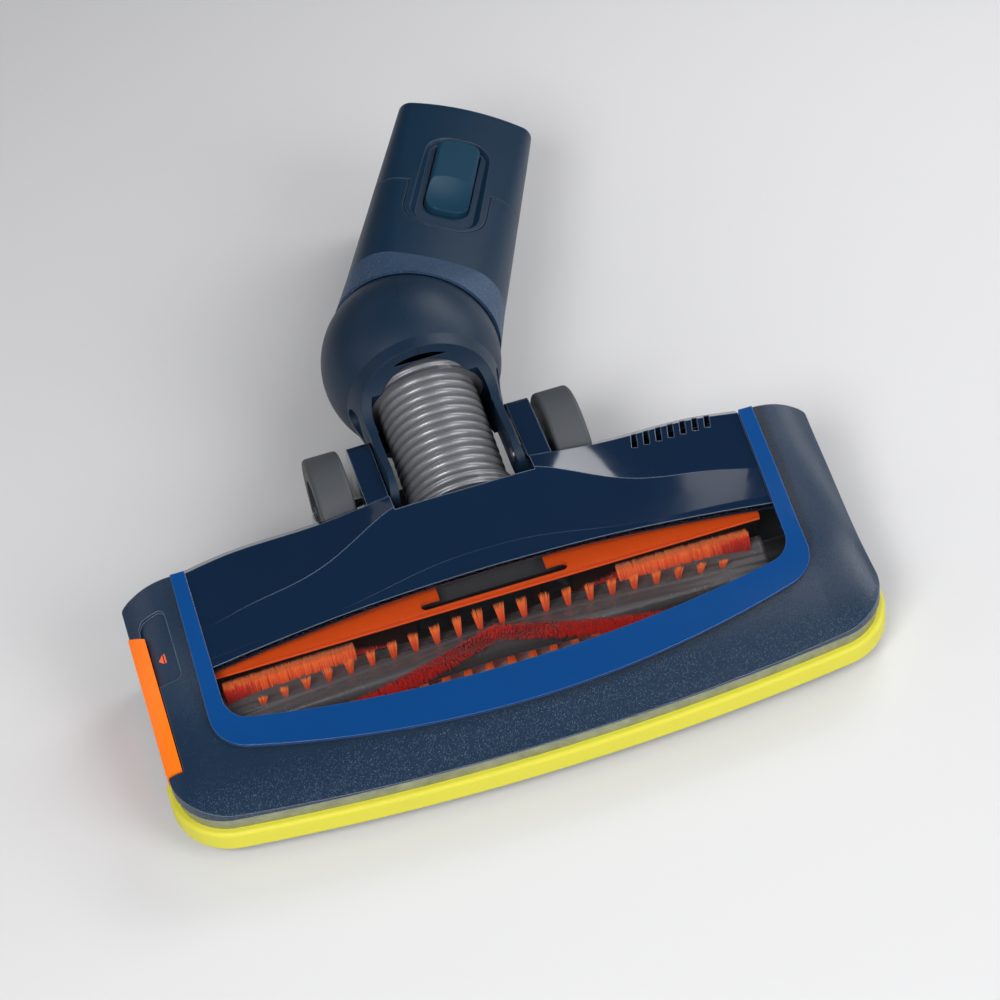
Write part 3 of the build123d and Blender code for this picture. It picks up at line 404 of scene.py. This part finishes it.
@dataclass(frozen=True)
class MarkedShell(SparkleShell):
    """Sparkle shell with painted glints on its flakes mostly in a front band, a painted shade round
    the frame and an arrow by the latch.
    """

    glint_band_mm: tuple[float, float] = (-131.0, -118.0)
    glint_band_least: float = 0.2
    frame_half: float = 105.0
    frame_front: float = -127.4
    frame_sweep: float = 17.6
    frame_corner: float = 14.0
    frame_shade_mm: float = 3.8
    frame_shade_colour: tuple[int, int, int] = (6, 22, 38)
    mark_tip: tuple[float, float] = (-115.4, -74.4)
    mark_size: tuple[float, float] = (1.7, 1.55)
    mark_bar: tuple[float, float] = (0.4, 0.5)
    mark_colour: tuple[int, int, int] = (238, 96, 34)

    def tone(self, g: Graph, flake: Sock) -> Sock:
        """Shell colour: painted flake glints mostly in the front band and fewer behind it, the painted
        shade round the frame, and the mark.
        """
        x, y, _ = g.axes()
        # Painted glint: the lighter flakes are kept mostly to the front band, where they would catch
        # the lamp's light; behind it only a share of them shows.
        front = 1 - y.ease(self.glint_band_mm[0] * MM, self.glint_band_mm[1] * MM)
        glinting = flake * (self.glint_band_least + (1 - self.glint_band_least) * front)
        # Painted shade: a dark band round the frame, stronger towards the right.
        frame_shade = self.frame_shade(g) * (0.3 + 0.5 * x.ease(-0.05, 0.09))
        shell = g.mix(frame_shade, super().tone(g, glinting), linear(self.frame_shade_colour))
        return g.mix(self.arrow(g), shell, linear(self.mark_colour))

    def frame_shade(self, g: Graph) -> Sock:
        """Mask of the painted shade just outside the frame, which stands in for the shade and dark
        reflection of a dip that the shell does not have.

        With e = front + sweep * (x / half) ** 2 the frame's front edge, the way off it is
        sqrt(max(|x| - half + corner, 0) ** 2 + max(e + corner - y, 0) ** 2) - corner.

        Args:
            g: the graph that it is added to.

        Returns:
            1 at the frame's edge, 0 from the shaded band's width on.
        """
        x, y, _ = g.axes()
        edge = self.frame_front * MM + self.frame_sweep * MM * (x / (self.frame_half * MM)) ** 2
        side = (abs(x) - (self.frame_half - self.frame_corner) * MM).at_least(0.0)
        below = (edge + self.frame_corner * MM - y).at_least(0.0)
        away = (side * side + below * below) ** 0.5 - self.frame_corner * MM
        return 1 - away.ease(0.4 * self.frame_shade_mm * MM, self.frame_shade_mm * MM)

    def arrow(self, g: Graph) -> Sock:
        """Mask of the printed arrow: a triangle that points to the left edge, and a bar behind it.

        Args:
            g: the graph that it is added to.

        Returns:
            1 inside the mark, 0 outside.
        """
        x, y, _ = g.axes()
        length, half = (v * MM for v in self.mark_size)
        gap, bar = (v * MM for v in self.mark_bar)
        ahead = x - self.mark_tip[0] * MM
        beside = abs(y - self.mark_tip[1] * MM)
        head = (ahead > 0.0) * (ahead < length) * (beside < ahead * (half / length))
        back = (ahead > length + gap) * (ahead < length + gap + bar) * (beside < half)
        return head + back


@dataclass(frozen=True)
class ClearPane:
    """Clear plastic: tinted see-through with a mirror gloss that grows at grazing angles."""

    name: str
    tint: tuple[int, int, int]
    gloss: float = 0.0
    ribs_mm: float = 0.0
    haze: float = 0.0

    def material(self) -> bpy.types.Material:
        """The finished material: see-through, a share of cloudy body, and a mirror over both."""
        g = Graph(self.name)
        g.shade(Base_Color=(1.0, 1.0, 1.0, 1.0), Metallic=1.0, Roughness=0.03 + 0.02 * g.noise(6.0))
        see = g.add("ShaderNodeBsdfTransparent", values={"Color": linear(self.tint)})
        if self.ribs_mm:
            x, _, _ = g.axes()
            wave = 0.5 + 0.5 * (x * (2 * math.pi / (self.ribs_mm * MM))).sine()
            g.shade(Normal=g.bump(wave, 0.12))
        if self.haze:
            cloud = {"Base Color": linear(self.tint), "Roughness": 0.3}
            body = g.add("ShaderNodeBsdfPrincipled", values=cloud)
            milky = self.haze * (0.6 + 0.8 * g.noise(5.0))
            see = g.add("ShaderNodeMixShader", values={0: milky, 1: see, 2: body})
        share = g.add("ShaderNodeFresnel", values={"IOR": 1.46}) + self.gloss
        mirror = Sock(g, g.shader.outputs[0])
        blend = g.add("ShaderNodeMixShader", values={0: share, 1: see, 2: mirror})
        g.tree.links.new(blend.socket, g.out.inputs["Surface"])
        return g.material


@dataclass(frozen=True)
class Metal:
    """Turned or plated metal with fine lines round the X axis."""

    name: str
    colour: tuple[int, int, int]
    roughness: float = 0.28

    def material(self) -> bpy.types.Material:
        """The finished material."""
        g = Graph(self.name)
        x, _, _ = g.axes()
        lines = 0.5 + 0.5 * (x * (2 * math.pi / (0.22 * MM)) + 6 * g.noise(3.0)).sine()
        g.shade(Base_Color=linear(self.colour), Metallic=1.0)
        g.shade(Roughness=self.roughness + 0.12 * g.noise(4.0), Normal=g.bump(lines, 0.004))
        return g.material


@dataclass(frozen=True)
class Fibre:
    """Bristle or pile: darker at the root as painted shade, lighter and drier at the tip, with an
    optional painted glow.
    """

    name: str
    root: tuple[int, int, int]
    tip: tuple[int, int, int]
    roughness: float = 0.45
    glow: float = 0.0

    def material(self) -> bpy.types.Material:
        """The finished material: the piece's own attribute gives the way from root to tip."""
        g = Graph(self.name)
        along = g.add("ShaderNodeAttribute", {"attribute_name": "along"}, out="Fac")
        streak = g.noise(0.6, 1.0)
        # Painted shade: each fibre's colour runs from a dark root to a lighter tip.
        colour = g.mix(along * (0.7 + 0.5 * streak), linear(self.root), linear(self.tip))
        g.shade(Base_Color=colour, Roughness=self.roughness + 0.2 * along, Sheen_Weight=0.25)
        # Painted light: the emission makes the fibres glow although they are no lamp.
        g.shade(Emission_Color=colour, Emission_Strength=self.glow)
        return g.material


class Finish(Enum):
    """Every finish on the head, by the piece that wears it."""

    HOOD = MarkedShell("hood_sparkle", (13, 41, 67), 0.38, 0.4, 0.05,
                       edge_mm=0.4, edge_highlight=0.35, specular=0.62)
    ACCENT = Plastic("accent_gloss_blue", (10, 66, 127), 0.17, 1.4, 0.004, 0.06,
                     coat=0.2, edge_mm=0.4, edge_highlight=0.2)
    COVER = Plastic("cover_gloss_navy", (13, 33, 57), 0.1, 1.6, 0.003, 0.08,
                    coat=0.3, edge_mm=0.45, edge_highlight=0.5)
    WINDOW = ClearPane("window_clear", (250, 250, 251))
    LENS = ClearPane("lens_clear", (176, 182, 150), gloss=0.02, ribs_mm=3.0, haze=0.5)
    BUMPER = Plastic("bumper_lime_rubber", (214, 207, 58), 0.5, 0.35, 0.03, 0.05)
    LATCH = Plastic("latch_orange", (255, 118, 8), 0.4, 0.4, 0.015, 0.04, glow=0.06)
    # The plate's lower part carries painted shade.
    PLATE = ShadedBelowPlastic("inner_plate_orange", (244, 88, 18), 0.38, 0.5, 0.02, 0.08)
    SOLE = Plastic("sole_grain_black", (40, 42, 46), 0.55, 0.6, 0.06, 0.12)
    DUCT = Plastic("duct_black", (30, 31, 34), 0.5, 0.8, 0.03, 0.1)
    YOKE = SeamedPlastic("yoke_satin_navy", (17, 38, 59), 0.46, 0.8, 0.006, 0.08,
                         edge_mm=0.4, edge_highlight=0.12, specular=0.3)
    TUBE = Plastic("tube_satin_navy", (13, 40, 62), 0.4, 0.8, 0.008, 0.08,
                   edge_mm=0.5, edge_highlight=0.12, specular=0.28)
    COLLAR = SparkleShell("collar_textured_blue", (44, 69, 98),
                          roughness=0.45, grain_mm=0.6, grain_depth=0.14)
    BUTTON = Plastic("button_gloss_teal", (20, 55, 76), 0.4, 1.2, 0.004, 0.05, specular=0.15)
    HOSE = Plastic("hose_silver_gloss", (124, 125, 130), 0.34, 1.5, 0.01, 0.08,
                   coat=0.25, metallic=0.4)
    CUFF = RibbedPlastic("cuff_silver_gloss", (116, 117, 122), 0.34, 1.5, 0.01, 0.08,
                         coat=0.25, metallic=0.4)
    WHEEL = Plastic("wheel_grey", (60, 62, 66), 0.5, 0.6, 0.03, 0.08)
    TYRE = Plastic("tyre_soft_grey", (66, 69, 74), 0.62, 0.4, 0.05, 0.1)
    CORE = Plastic("core_satin_grey", (112, 110, 110), 0.27, 0.9, 0.03, 0.1, metallic=0.4)
    BLACK = Plastic("bearing_black", (28, 28, 30), 0.45, 0.6, 0.02, 0.1)
    BELT = Plastic("belt_rubber", (22, 22, 23), 0.7, 0.5, 0.06, 0.1)
    BOARD = Plastic("board_green", (40, 92, 58), 0.45, 0.7, 0.03, 0.12)
    CHIP = Plastic("light_chip", (240, 236, 208), 0.3, 0.4, 0.01, 0.04)
    STEEL = Metal("turned_steel", (190, 190, 194), 0.26)
    CAN = Metal("motor_can", (150, 150, 154), 0.36)
    BRASS = Metal("contact_gold", (214, 172, 92), 0.24)
    BRISTLE = Fibre("bristle_orange", (196, 50, 10), (255, 142, 60), glow=0.34)
    PLUSH = Fibre("plush_red", (150, 12, 6), (250, 46, 20), roughness=0.7, glow=0.16)
    FELT = Fibre("front_bristle_red", (120, 16, 12), (190, 40, 26), roughness=0.7)


class FinishShop:
    """Makes each finish once and hands it out."""

    def __init__(self) -> None:
        """Start with no material made."""
        self.made: dict[Finish, bpy.types.Material] = {}

    def get(self, finish: Finish) -> bpy.types.Material:
        """The material of a finish."""
        if finish not in self.made:
            self.made[finish] = finish.value.material()
        return self.made[finish]

    def dress(self, finish: Finish, *nodes: str) -> None:
        """Put a finish on nodes of the frame."""
        for name in nodes:
            mesh = frame["nodes"][name].data
            mesh.materials.clear()
            mesh.materials.append(self.get(finish))
            log.info("dressed %s in %s", name, finish.value.name)


def add_piece(name: str, points: np.ndarray, faces: np.ndarray, material: bpy.types.Material,
              body: str | None, along: np.ndarray | None = None) -> bpy.types.Object:
    """Make a mesh piece that rides on a body.

    Args:
        name: the piece's name.
        points: n by 3 places in metres.
        faces: m by 3 or 4 corner numbers.
        material: its finish.
        body: the body it rides on, or None for a piece that rides on no body.
        along: a value per point for the attribute that runs from root to tip.

    Returns:
        The object.
    """
    mesh = bpy.data.meshes.new(name)
    size = faces.shape[1]
    mesh.vertices.add(len(points))
    mesh.vertices.foreach_set("co", points.astype(np.float32).ravel())
    mesh.loops.add(faces.size)
    mesh.loops.foreach_set("vertex_index", faces.astype(np.int32).ravel())
    mesh.polygons.add(len(faces))
    mesh.polygons.foreach_set("loop_start", np.arange(0, faces.size, size, dtype=np.int32))
    mesh.update(calc_edges=True)
    mesh.polygons.foreach_set("use_smooth", np.full(len(faces), True))
    if along is not None:
        layer = mesh.attributes.new("along", "FLOAT", "POINT")
        layer.data.foreach_set("value", along.astype(np.float32).ravel())
    mesh.validate()
    mesh.materials.append(material)
    obj = bpy.data.objects.new(name, mesh)
    bpy.context.scene.collection.objects.link(obj)
    if body:
        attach(obj, body)
    log.info("built %s with %d faces", name, len(faces))
    return obj


def grid_faces(rows: int, columns: int, wrap: bool) -> np.ndarray:
    """Quads of a grid of points.

    Args:
        rows: points along the first parameter.
        columns: points along the second.
        wrap: whether the second parameter closes on itself.

    Returns:
        The quads' corner numbers.
    """
    last = columns if wrap else columns - 1
    r, c = np.meshgrid(np.arange(rows - 1), np.arange(last), indexing="ij")
    nxt = (c + 1) % columns
    near, far = r * columns, (r + 1) * columns
    return np.stack([near + c, near + nxt, far + nxt, far + c], axis=-1).reshape(-1, 4)


def fibre_mesh(root: np.ndarray, tip: np.ndarray, side: np.ndarray,
               thick: float) -> tuple[np.ndarray, np.ndarray, np.ndarray]:
    """Thin three-sided fibres from root to tip.

    Each fibre has three corners at its root, three at 60% of its way and one point at the tip. A
    corner lies at centre + thick * (cos a * side + sin a * across), with across = unit(run) x side.
    The way along is scaled by 0.74 + 0.26 sin(2.4 n) for fibre n, so that neighbours differ in tone.

    Args:
        root: n by 3 root places.
        tip: n by 3 tip places.
        side: n by 3 unit vectors square to the fibres.
        thick: root radius in metres.

    Returns:
        Points, triangles and the way along for each point.
    """
    run = tip - root
    unit = run / np.linalg.norm(run, axis=1, keepdims=True)
    across = np.cross(unit, side)
    turn = np.array([0, 2, 4]) * math.pi / 3
    cos, sin = np.cos(turn)[None, :, None], np.sin(turn)[None, :, None]
    ring = cos * side[:, None, :] + sin * across[:, None, :]
    low = root[:, None, :] + thick * ring
    mid = (root + 0.6 * run)[:, None, :] + 0.85 * thick * ring
    points = np.concatenate([low, mid, tip[:, None, :]], axis=1).reshape(-1, 3)
    pattern = np.array([
        [0, 1, 4], [0, 4, 3], [1, 2, 5], [1, 5, 4], [2, 0, 3], [2, 3, 5],
        [3, 4, 6], [4, 5, 6], [5, 3, 6],
    ])
    faces = (np.arange(len(root))[:, None, None] * 7 + pattern[None]).reshape(-1, 3)
    shade = 0.74 + 0.26 * np.sin(np.arange(len(root)) * 2.39996)
    along = shade[:, None] * np.array([0, 0, 0, 0.6, 0.6, 0.6, 1.0])
    return points, faces, along.ravel()


@dataclass
class Housing:
    """Hood, accent frame, cover, window, light strip, bumper, latch and sole."""

    shop: FinishShop

    def dress(self) -> None:
        """Give the housing's nodes their finishes."""
        dress = self.shop.dress
        dress(Finish.HOOD, "hood")
        dress(Finish.ACCENT, "accent_frame")
        dress(Finish.COVER, "top_cover")
        dress(Finish.WINDOW, "window")
        dress(Finish.LENS, "light_lens")
        dress(Finish.BUMPER, "bumper")
        dress(Finish.LATCH, "brush_latch")
        dress(Finish.SOLE, "sole_plate")
        dress(Finish.PLATE, "brush_tunnel")
        dress(Finish.DUCT, "air_duct")
        dress(Finish.CUFF, "hose_lower_cuff", "hose_upper_cuff")
        dress(Finish.BOARD, "light_board")
        dress(Finish.CHIP, "light_chips")
        dress(Finish.STEEL, "sole_screws", "front_roller_axles", "pivot_pins", "wheel_axles")


@dataclass
class FrontStrip:
    """Short bristles under the front lip, in place of their solid strip."""

    shop: FinishShop
    count: int = 5200
    thick_mm: float = 0.11

    def build(self) -> None:
        """Plant the bristles: roots follow the strip's bow, y = front + depth * u + sagitta of x."""
        low, high = (np.array(v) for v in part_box("front_felt"))
        rng = np.random.default_rng(11)
        x = rng.uniform(low[0] + MM, high[0] - MM, self.count)
        half = (high[0] - low[0]) / 2
        depth = 2.4 * MM
        bow = (high[1] - low[1] - depth) * (x / half) ** 2
        y = low[1] + bow + depth * rng.uniform(0.1, 0.9, self.count)
        root = np.stack([x, y, np.full_like(x, high[2])], axis=1)
        lean = rng.normal(0, 0.22 * MM, (self.count, 2))
        tip = np.stack([x + lean[:, 0], y + lean[:, 1], np.full_like(x, low[2] + 0.05 * MM)], axis=1)
        side = np.tile(np.array([1.0, 0, 0]), (self.count, 1))
        points, faces, along = fibre_mesh(root, tip, side, self.thick_mm * MM)
        obj = add_piece("front_bristles", points, faces, self.shop.get(Finish.FELT), "head", along)
        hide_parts("front_felt")


@dataclass(frozen=True)
class Band:
    """A band of fibres on the roller: angles in degrees, sizes in mm.

    The row's angle is end at its ends and end + twist in its middle; reach is how far it runs in
    from each end.
    """

    name: str
    node: str
    finish: Finish
    slot: str
    end: float
    twist: float
    reach: float
    width: float
    tip: float
    count: int
    thick: float


@dataclass
class BrushRoller:
    """Driven roller: ribbed core, bristle tufts, dense bristle strips and plush strips."""

    shop: FinishShop
    axis_y: float
    axis_z: float
    core_mm: float = 5.6
    lobe_mm: float = 3.4
    tip_mm: float = 13.5
    first_mm: float = -85.6
    last_mm: float = 76.8
    tufts: int = 22
    tuft_end: float = 67.0
    tuft_fibres: int = 46
    tuft_thick_mm: float = 0.15
    rib_mm: float = 0.45
    bore_mm: float = 2.52
    twist: float = 48.0
    overhang: float = 11.5
    dense: Band = Band("dense_bristles", "bristle_strips", Finish.BRISTLE, "bristle_orange",
                       120.0, 48.0, 46.0, 3.6, 13.2, 4200, 0.15)
    plush: Band = Band("plush_pile", "plush_strips", Finish.PLUSH, "plush_red",
                       -52.0, 114.0, 92.7, 6.4, 12.5, 10500, 0.12)
    rng: np.random.Generator = field(default_factory=lambda: np.random.default_rng(5))

    def angle(self, x_mm: np.ndarray, end: float, twist: float | None = None) -> np.ndarray:
        """Angle of a V row at x: end angle plus twist * (1 - |x - middle| / half), in radians."""
        middle = (self.first_mm + self.last_mm) / 2
        half = (self.last_mm - self.first_mm) / 2
        return np.radians(end + (twist or self.twist) * (1 - np.abs(x_mm - middle) / half))

    def at(self, x_mm: np.ndarray, r_mm: np.ndarray, turn: np.ndarray) -> np.ndarray:
        """Points on the roller: y = axis - r cos a, z = axis + r sin a."""
        y = self.axis_y - r_mm * np.cos(turn) * MM
        z = self.axis_z + r_mm * np.sin(turn) * MM
        return np.stack([x_mm * MM, y, z], axis=-1)

    def tangent(self, turn: np.ndarray) -> np.ndarray:
        """Unit vectors along the roller's axis, one per fibre."""
        return np.tile(np.array([1.0, 0.0, 0.0]), (turn.size, 1))

    def build(self) -> None:
        """Build the roller's new pieces and dress the rest."""
        self.build_tufts()
        self.build_band(self.dense)
        self.build_band(self.plush)
        self.build_core()
        self.shop.dress(Finish.STEEL, "roller_shaft")
        self.shop.dress(Finish.BLACK, "roller_end_cap", "roller_drive_hub")
        self.shop.dress(Finish.BLACK, "left_bearing", "right_bearing")

    def build_tufts(self) -> None:
        """Bundles of fibres: each root lies on a small oval, each tip on a wider, flatter one."""
        centre = np.linspace(self.first_mm, self.last_mm, self.tufts)
        half_turn = np.array([0.0, math.pi])
        x0, turn0, _ = np.meshgrid(centre, half_turn, np.arange(self.tuft_fibres), indexing="ij")
        base = self.angle(x0, self.tuft_end) + turn0
        radius = np.sqrt(self.rng.uniform(0, 1, x0.shape))
        way = self.rng.uniform(0, 2 * math.pi, x0.shape)
        u, v = radius * np.cos(way), radius * np.sin(way)
        root = self.at(x0 + 0.9 * u, np.full(x0.shape, self.core_mm), base + 0.85 * v / self.core_mm)
        length = self.tip_mm - self.rng.uniform(0, 0.9, x0.shape)
        tip = self.at(x0 + 2.0 * u, length, base + 0.62 * v / self.tip_mm)
        points, faces, along = fibre_mesh(
            root.reshape(-1, 3), tip.reshape(-1, 3), self.tangent(base), self.tuft_thick_mm * MM)
        orange = self.shop.get(Finish.BRISTLE)
        obj = add_piece("bristle_bundles", points, faces, orange, "brush_roller", along)
        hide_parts("bristle_tufts")

    def build_band(self, band: Band) -> None:
        """Fibres along a V row and its partner half a turn away.

        A fibre stands at x = first + reach * u ** 1.2 from the left end, or as far from the right end.

        Args:
            band: the band's row, sizes and finish.
        """
        u = self.rng.uniform(0, 1, (2, band.count)) ** 1.2 * band.reach
        left = self.rng.uniform(0, 1, u.shape) < 0.5
        x = np.where(left, self.first_mm - self.overhang + u, self.last_mm + self.overhang - u)
        across = self.rng.uniform(-0.5, 0.5, u.shape) * band.width
        base = self.angle(x, band.end, band.twist) + np.array([[0.0], [math.pi]])
        root = self.at(x, np.full(x.shape, self.core_mm), base + across * 0.64 / self.core_mm)
        lean = self.rng.normal(0, 0.25, x.shape)
        length = band.tip - self.rng.uniform(0, 1.1, x.shape)
        tip = self.at(x + lean, length, base + across * 1.05 / band.tip)
        points, faces, along = fibre_mesh(
            root.reshape(-1, 3), tip.reshape(-1, 3), self.tangent(base), band.thick * MM)
        obj = add_piece(band.name, points, faces, self.shop.get(band.finish), "brush_roller", along)
        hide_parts(band.node)

    def build_core(self) -> None:
        """Oval core with V ribs, closed at both ends.

        With p the turn past the tuft row,
        r = core + lobe * sin(p) ** 2 - rib * (1 - clipped wave of 6 p) / 2.
        """
        low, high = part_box("roller_core")
        x = np.linspace(low[0] / MM, high[0] / MM, 120)
        turn = np.linspace(0, 2 * math.pi, 97)[:-1]
        xx, tt = np.meshgrid(x, turn, indexing="ij")
        phase = tt - self.angle(xx, self.tuft_end)
        rib = np.clip(np.cos(6 * phase) * 2.2, -1, 1)
        radius = self.core_mm + self.lobe_mm * np.sin(phase) ** 2 - self.rib_mm * (1 - rib) / 2
        skin = self.at(xx, radius, tt)
        ends = self.at(xx[[0, -1]], np.full(tt[[0, -1]].shape, self.bore_mm), tt[[0, -1]])
        points = np.concatenate([ends[:1], skin, ends[1:]], axis=0)
        faces = grid_faces(len(points), points.shape[1], True)
        core = self.shop.get(Finish.CORE)
        obj = add_piece("ribbed_core", points.reshape(-1, 3), faces[:, ::-1], core, "brush_roller")
        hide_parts("roller_core")


@dataclass
class Drive:
    """Motor, cradle, pulley and belt."""

    shop: FinishShop

    def dress(self) -> None:
        """Give the drive's nodes their finishes."""
        self.shop.dress(Finish.CAN, "drive_motor")
        self.shop.dress(Finish.BLACK, "motor_cradle")
        self.shop.dress(Finish.STEEL, "motor_pulley")
        self.shop.dress(Finish.BELT, "drive_belt")


@dataclass
class RunningGear:
    """Rear wheels and small front rollers."""

    shop: FinishShop

    def dress(self) -> None:
        """Give wheels and rollers their finishes."""
        self.shop.dress(Finish.WHEEL, "left_wheel_hub", "right_wheel_hub")
        self.shop.dress(Finish.WHEEL, "left_front_roller", "right_front_roller")
        self.shop.dress(Finish.TYRE, "left_wheel_tyre", "right_wheel_tyre")


@dataclass
class Neck:
    """Yoke halves and the ribbed hose between head and yoke."""

    shop: FinishShop
    start: tuple[float, float]
    end: tuple[float, float]
    radius_mm: float = 18.2
    depth_mm: float = 2.2
    wall_mm: float = 0.9
    ribs: int = 15

    def build(self) -> None:
        """Dress the yoke and build the hose."""
        self.shop.dress(Finish.YOKE, "left_yoke_half", "right_yoke_half")
        self.build_hose()

    def build_hose(self) -> None:
        """Ribbed hose: a turned wall r(s) = R - depth * (1 - bead(s)) with rounded beads."""
        rows, columns = self.ribs * 14 + 1, 72
        share = np.linspace(0, 1, rows)
        swell = np.sqrt(np.clip(1 - (2 * ((share * self.ribs) % 1.0) - 1) ** 2, 0, 1))
        outer = self.radius_mm - self.depth_mm * (1 - swell)
        profile = np.concatenate([outer, outer[::-1] - self.wall_mm, outer[:1]])
        place = np.concatenate([share, share[::-1], share[:1]])
        turn = np.linspace(0, 2 * math.pi, columns + 1)[:-1]
        start, end = np.array([0.0, *self.start]), np.array([0.0, *self.end])
        run = end - start
        unit = run / np.linalg.norm(run)
        side = np.array([1.0, 0, 0])
        up = np.cross(unit, side)
        ring = np.cos(turn)[None, :, None] * side + np.sin(turn)[None, :, None] * up
        points = start + place[:, None, None] * run + profile[:, None, None] * MM * ring
        faces = grid_faces(len(profile), columns, True)
        obj = add_piece("ribbed_hose", points.reshape(-1, 3), faces, self.shop.get(Finish.HOSE), None)
        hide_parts("hose")
        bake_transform(obj)


@dataclass
class TubeSocket:
    """Swivel collar, tube sleeves, release button and contacts."""

    shop: FinishShop

    def dress(self) -> None:
        """Give the tube's nodes their finishes."""
        self.shop.dress(Finish.COLLAR, "swivel_collar")
        self.shop.dress(Finish.TUBE, "tube_base", "tube_mouth")
        self.shop.dress(Finish.BUTTON, "release_button")
        self.shop.dress(Finish.STEEL, "swivel_pin")
        self.shop.dress(Finish.BRASS, "contact_pins")


@dataclass
class Studio:
    """Pale floor, soft lights and the camera."""

    origin_y: float
    floor_near: tuple[int, int, int] = (223, 223, 224)
    floor_far: tuple[int, int, int] = (205, 205, 207)
    camera_place: tuple[float, float, float] = (-0.1097889, -0.6919549, 0.7913559)
    right: tuple[float, float, float] = (0.95335493, -0.28265039, -0.10593929)
    up: tuple[float, float, float] = (0.27788029, 0.68475099, 0.67371999)
    back: tuple[float, float, float] = (-0.11788519, -0.67173272, 0.7313537)
    lens_mm: float = 108.0

    def build(self) -> None:
        """Set up floor, lights, world and camera."""
        scene = bpy.context.scene
        scene.view_settings.view_transform = "Standard"
        self.add_floor()
        self.add_world()
        self.add_lamp("main_panel", (-0.6, -0.85, 1.05), (0.6, 0.6), 13.0)
        self.add_lamp("front_right_panel", (0.85, -1.1, 0.95), (0.8, 0.8), 11.0)
        self.add_lamp("front_panel", (-0.1, -1.5, 0.6), (1.4, 0.6), 4.0)
        self.add_lamp("right_panel", (1.3, 0.2, 0.6), (0.8, 0.7), 4.5)
        self.add_lamp("top_panel", (0.62, -0.35, 1.25), (0.6, 0.45), 1.4)
        self.add_lamp("wing_panel", (0.34, 0.24, 0.42), (0.28, 0.22), 1.0)
        self.add_lamp("left_panel", (-1.1, 0.1, 0.7), (0.9, 0.7), 1.6)
        self.add_lamp("rear_panel", (-0.6, 1.1, 0.8), (0.8, 0.7), 0.7)
        data = bpy.data.cameras.new("camera")
        data.sensor_width = 36.0
        data.lens = self.lens_mm
        camera = bpy.data.objects.new("camera", data)
        camera.matrix_world = Matrix((
            (self.right[0], self.up[0], self.back[0], self.camera_place[0]),
            (self.right[1], self.up[1], self.back[1], self.camera_place[1] + self.origin_y),
            (self.right[2], self.up[2], self.back[2], self.camera_place[2]),
            (0, 0, 0, 1),
        ))
        scene.collection.objects.link(camera)
        scene.camera = camera

    def add_floor(self) -> None:
        """A wide pale floor whose colour is painted a little lighter towards the front, standing in
        for the fall-off of the studio light.
        """
        mesh = bpy.data.meshes.new("floor")
        size = 6.0
        corners = [(-size, -size, 0), (size, -size, 0), (size, size, 0), (-size, size, 0)]
        mesh.from_pydata(corners, [], [(0, 1, 2, 3)])
        floor = bpy.data.objects.new("floor", mesh)
        g = Graph("floor_pale")
        _, y, _ = g.axes()
        # Painted light: the floor's colour brightens towards the front.
        pale = g.mix(y.ease(-0.35, 0.4), linear(self.floor_near), linear(self.floor_far))
        g.shade(Base_Color=pale, Roughness=0.8)
        mesh.materials.append(g.material)
        bpy.context.scene.collection.objects.link(floor)

    def add_world(self) -> None:
        """Even soft light from all round."""
        world = bpy.data.worlds.new("studio")
        world.use_nodes = True
        sky = world.node_tree.nodes["Background"]
        sky.inputs["Color"].default_value = (0.93, 0.95, 1.0, 1.0)
        sky.inputs["Strength"].default_value = 0.05
        bpy.context.scene.world = world

    def add_lamp(self, name: str, place: tuple[float, float, float], size: tuple[float, float],
                 power: float) -> None:
        """A flat soft lamp that faces the head.

        Args:
            name: the lamp's name.
            place: where it stands.
            size: its width and height in metres.
            power: its power in watts.
        """
        data = bpy.data.lights.new(name, "AREA")
        data.shape = "RECTANGLE"
        data.size, data.size_y = size
        data.energy = power
        lamp = bpy.data.objects.new(name, data)
        back = np.array(place) - np.array([0.0, -0.03, 0.03])
        back = back / np.linalg.norm(back)
        right = np.cross([0.0, 0.0, 1.0], back)
        right = right / np.linalg.norm(right)
        top = np.cross(back, right)
        turn = np.eye(4)
        turn[:3, 0], turn[:3, 1], turn[:3, 2], turn[:3, 3] = right, top, back, place
        lamp.matrix_world = Matrix(turn.tolist())
        bpy.context.scene.collection.objects.link(lamp)


def joint_place(name: str) -> tuple[float, float, float]:
    """Where a joint of the frame sits."""
    joints = frame["record"]["behaviour"]["joints"]
    return next(tuple(j["pos_m"]) for j in joints if j["name"] == name)


def main() -> None:
    """Build and dress every sub-assembly in order."""
    logging.basicConfig(level=logging.INFO)
    shop = FinishShop()
    _, roller_y, roller_z = joint_place("roller_spin")
    _, pivot_y, _ = joint_place("neck_pitch")
    origin_y = pivot_y - HOOD_REAR_MM * MM
    hose_ends = [(origin_y + y * MM, z * MM) for y, z in (HOSE_START_MM, HOSE_END_MM)]
    Housing(shop).dress()
    FrontStrip(shop).build()
    BrushRoller(shop, roller_y, roller_z).build()
    Drive(shop).dress()
    RunningGear(shop).dress()
    Neck(shop, *hose_ends).build()
    TubeSocket(shop).dress()
    Studio(origin_y).build()


if __name__ == "__main__":
    main()
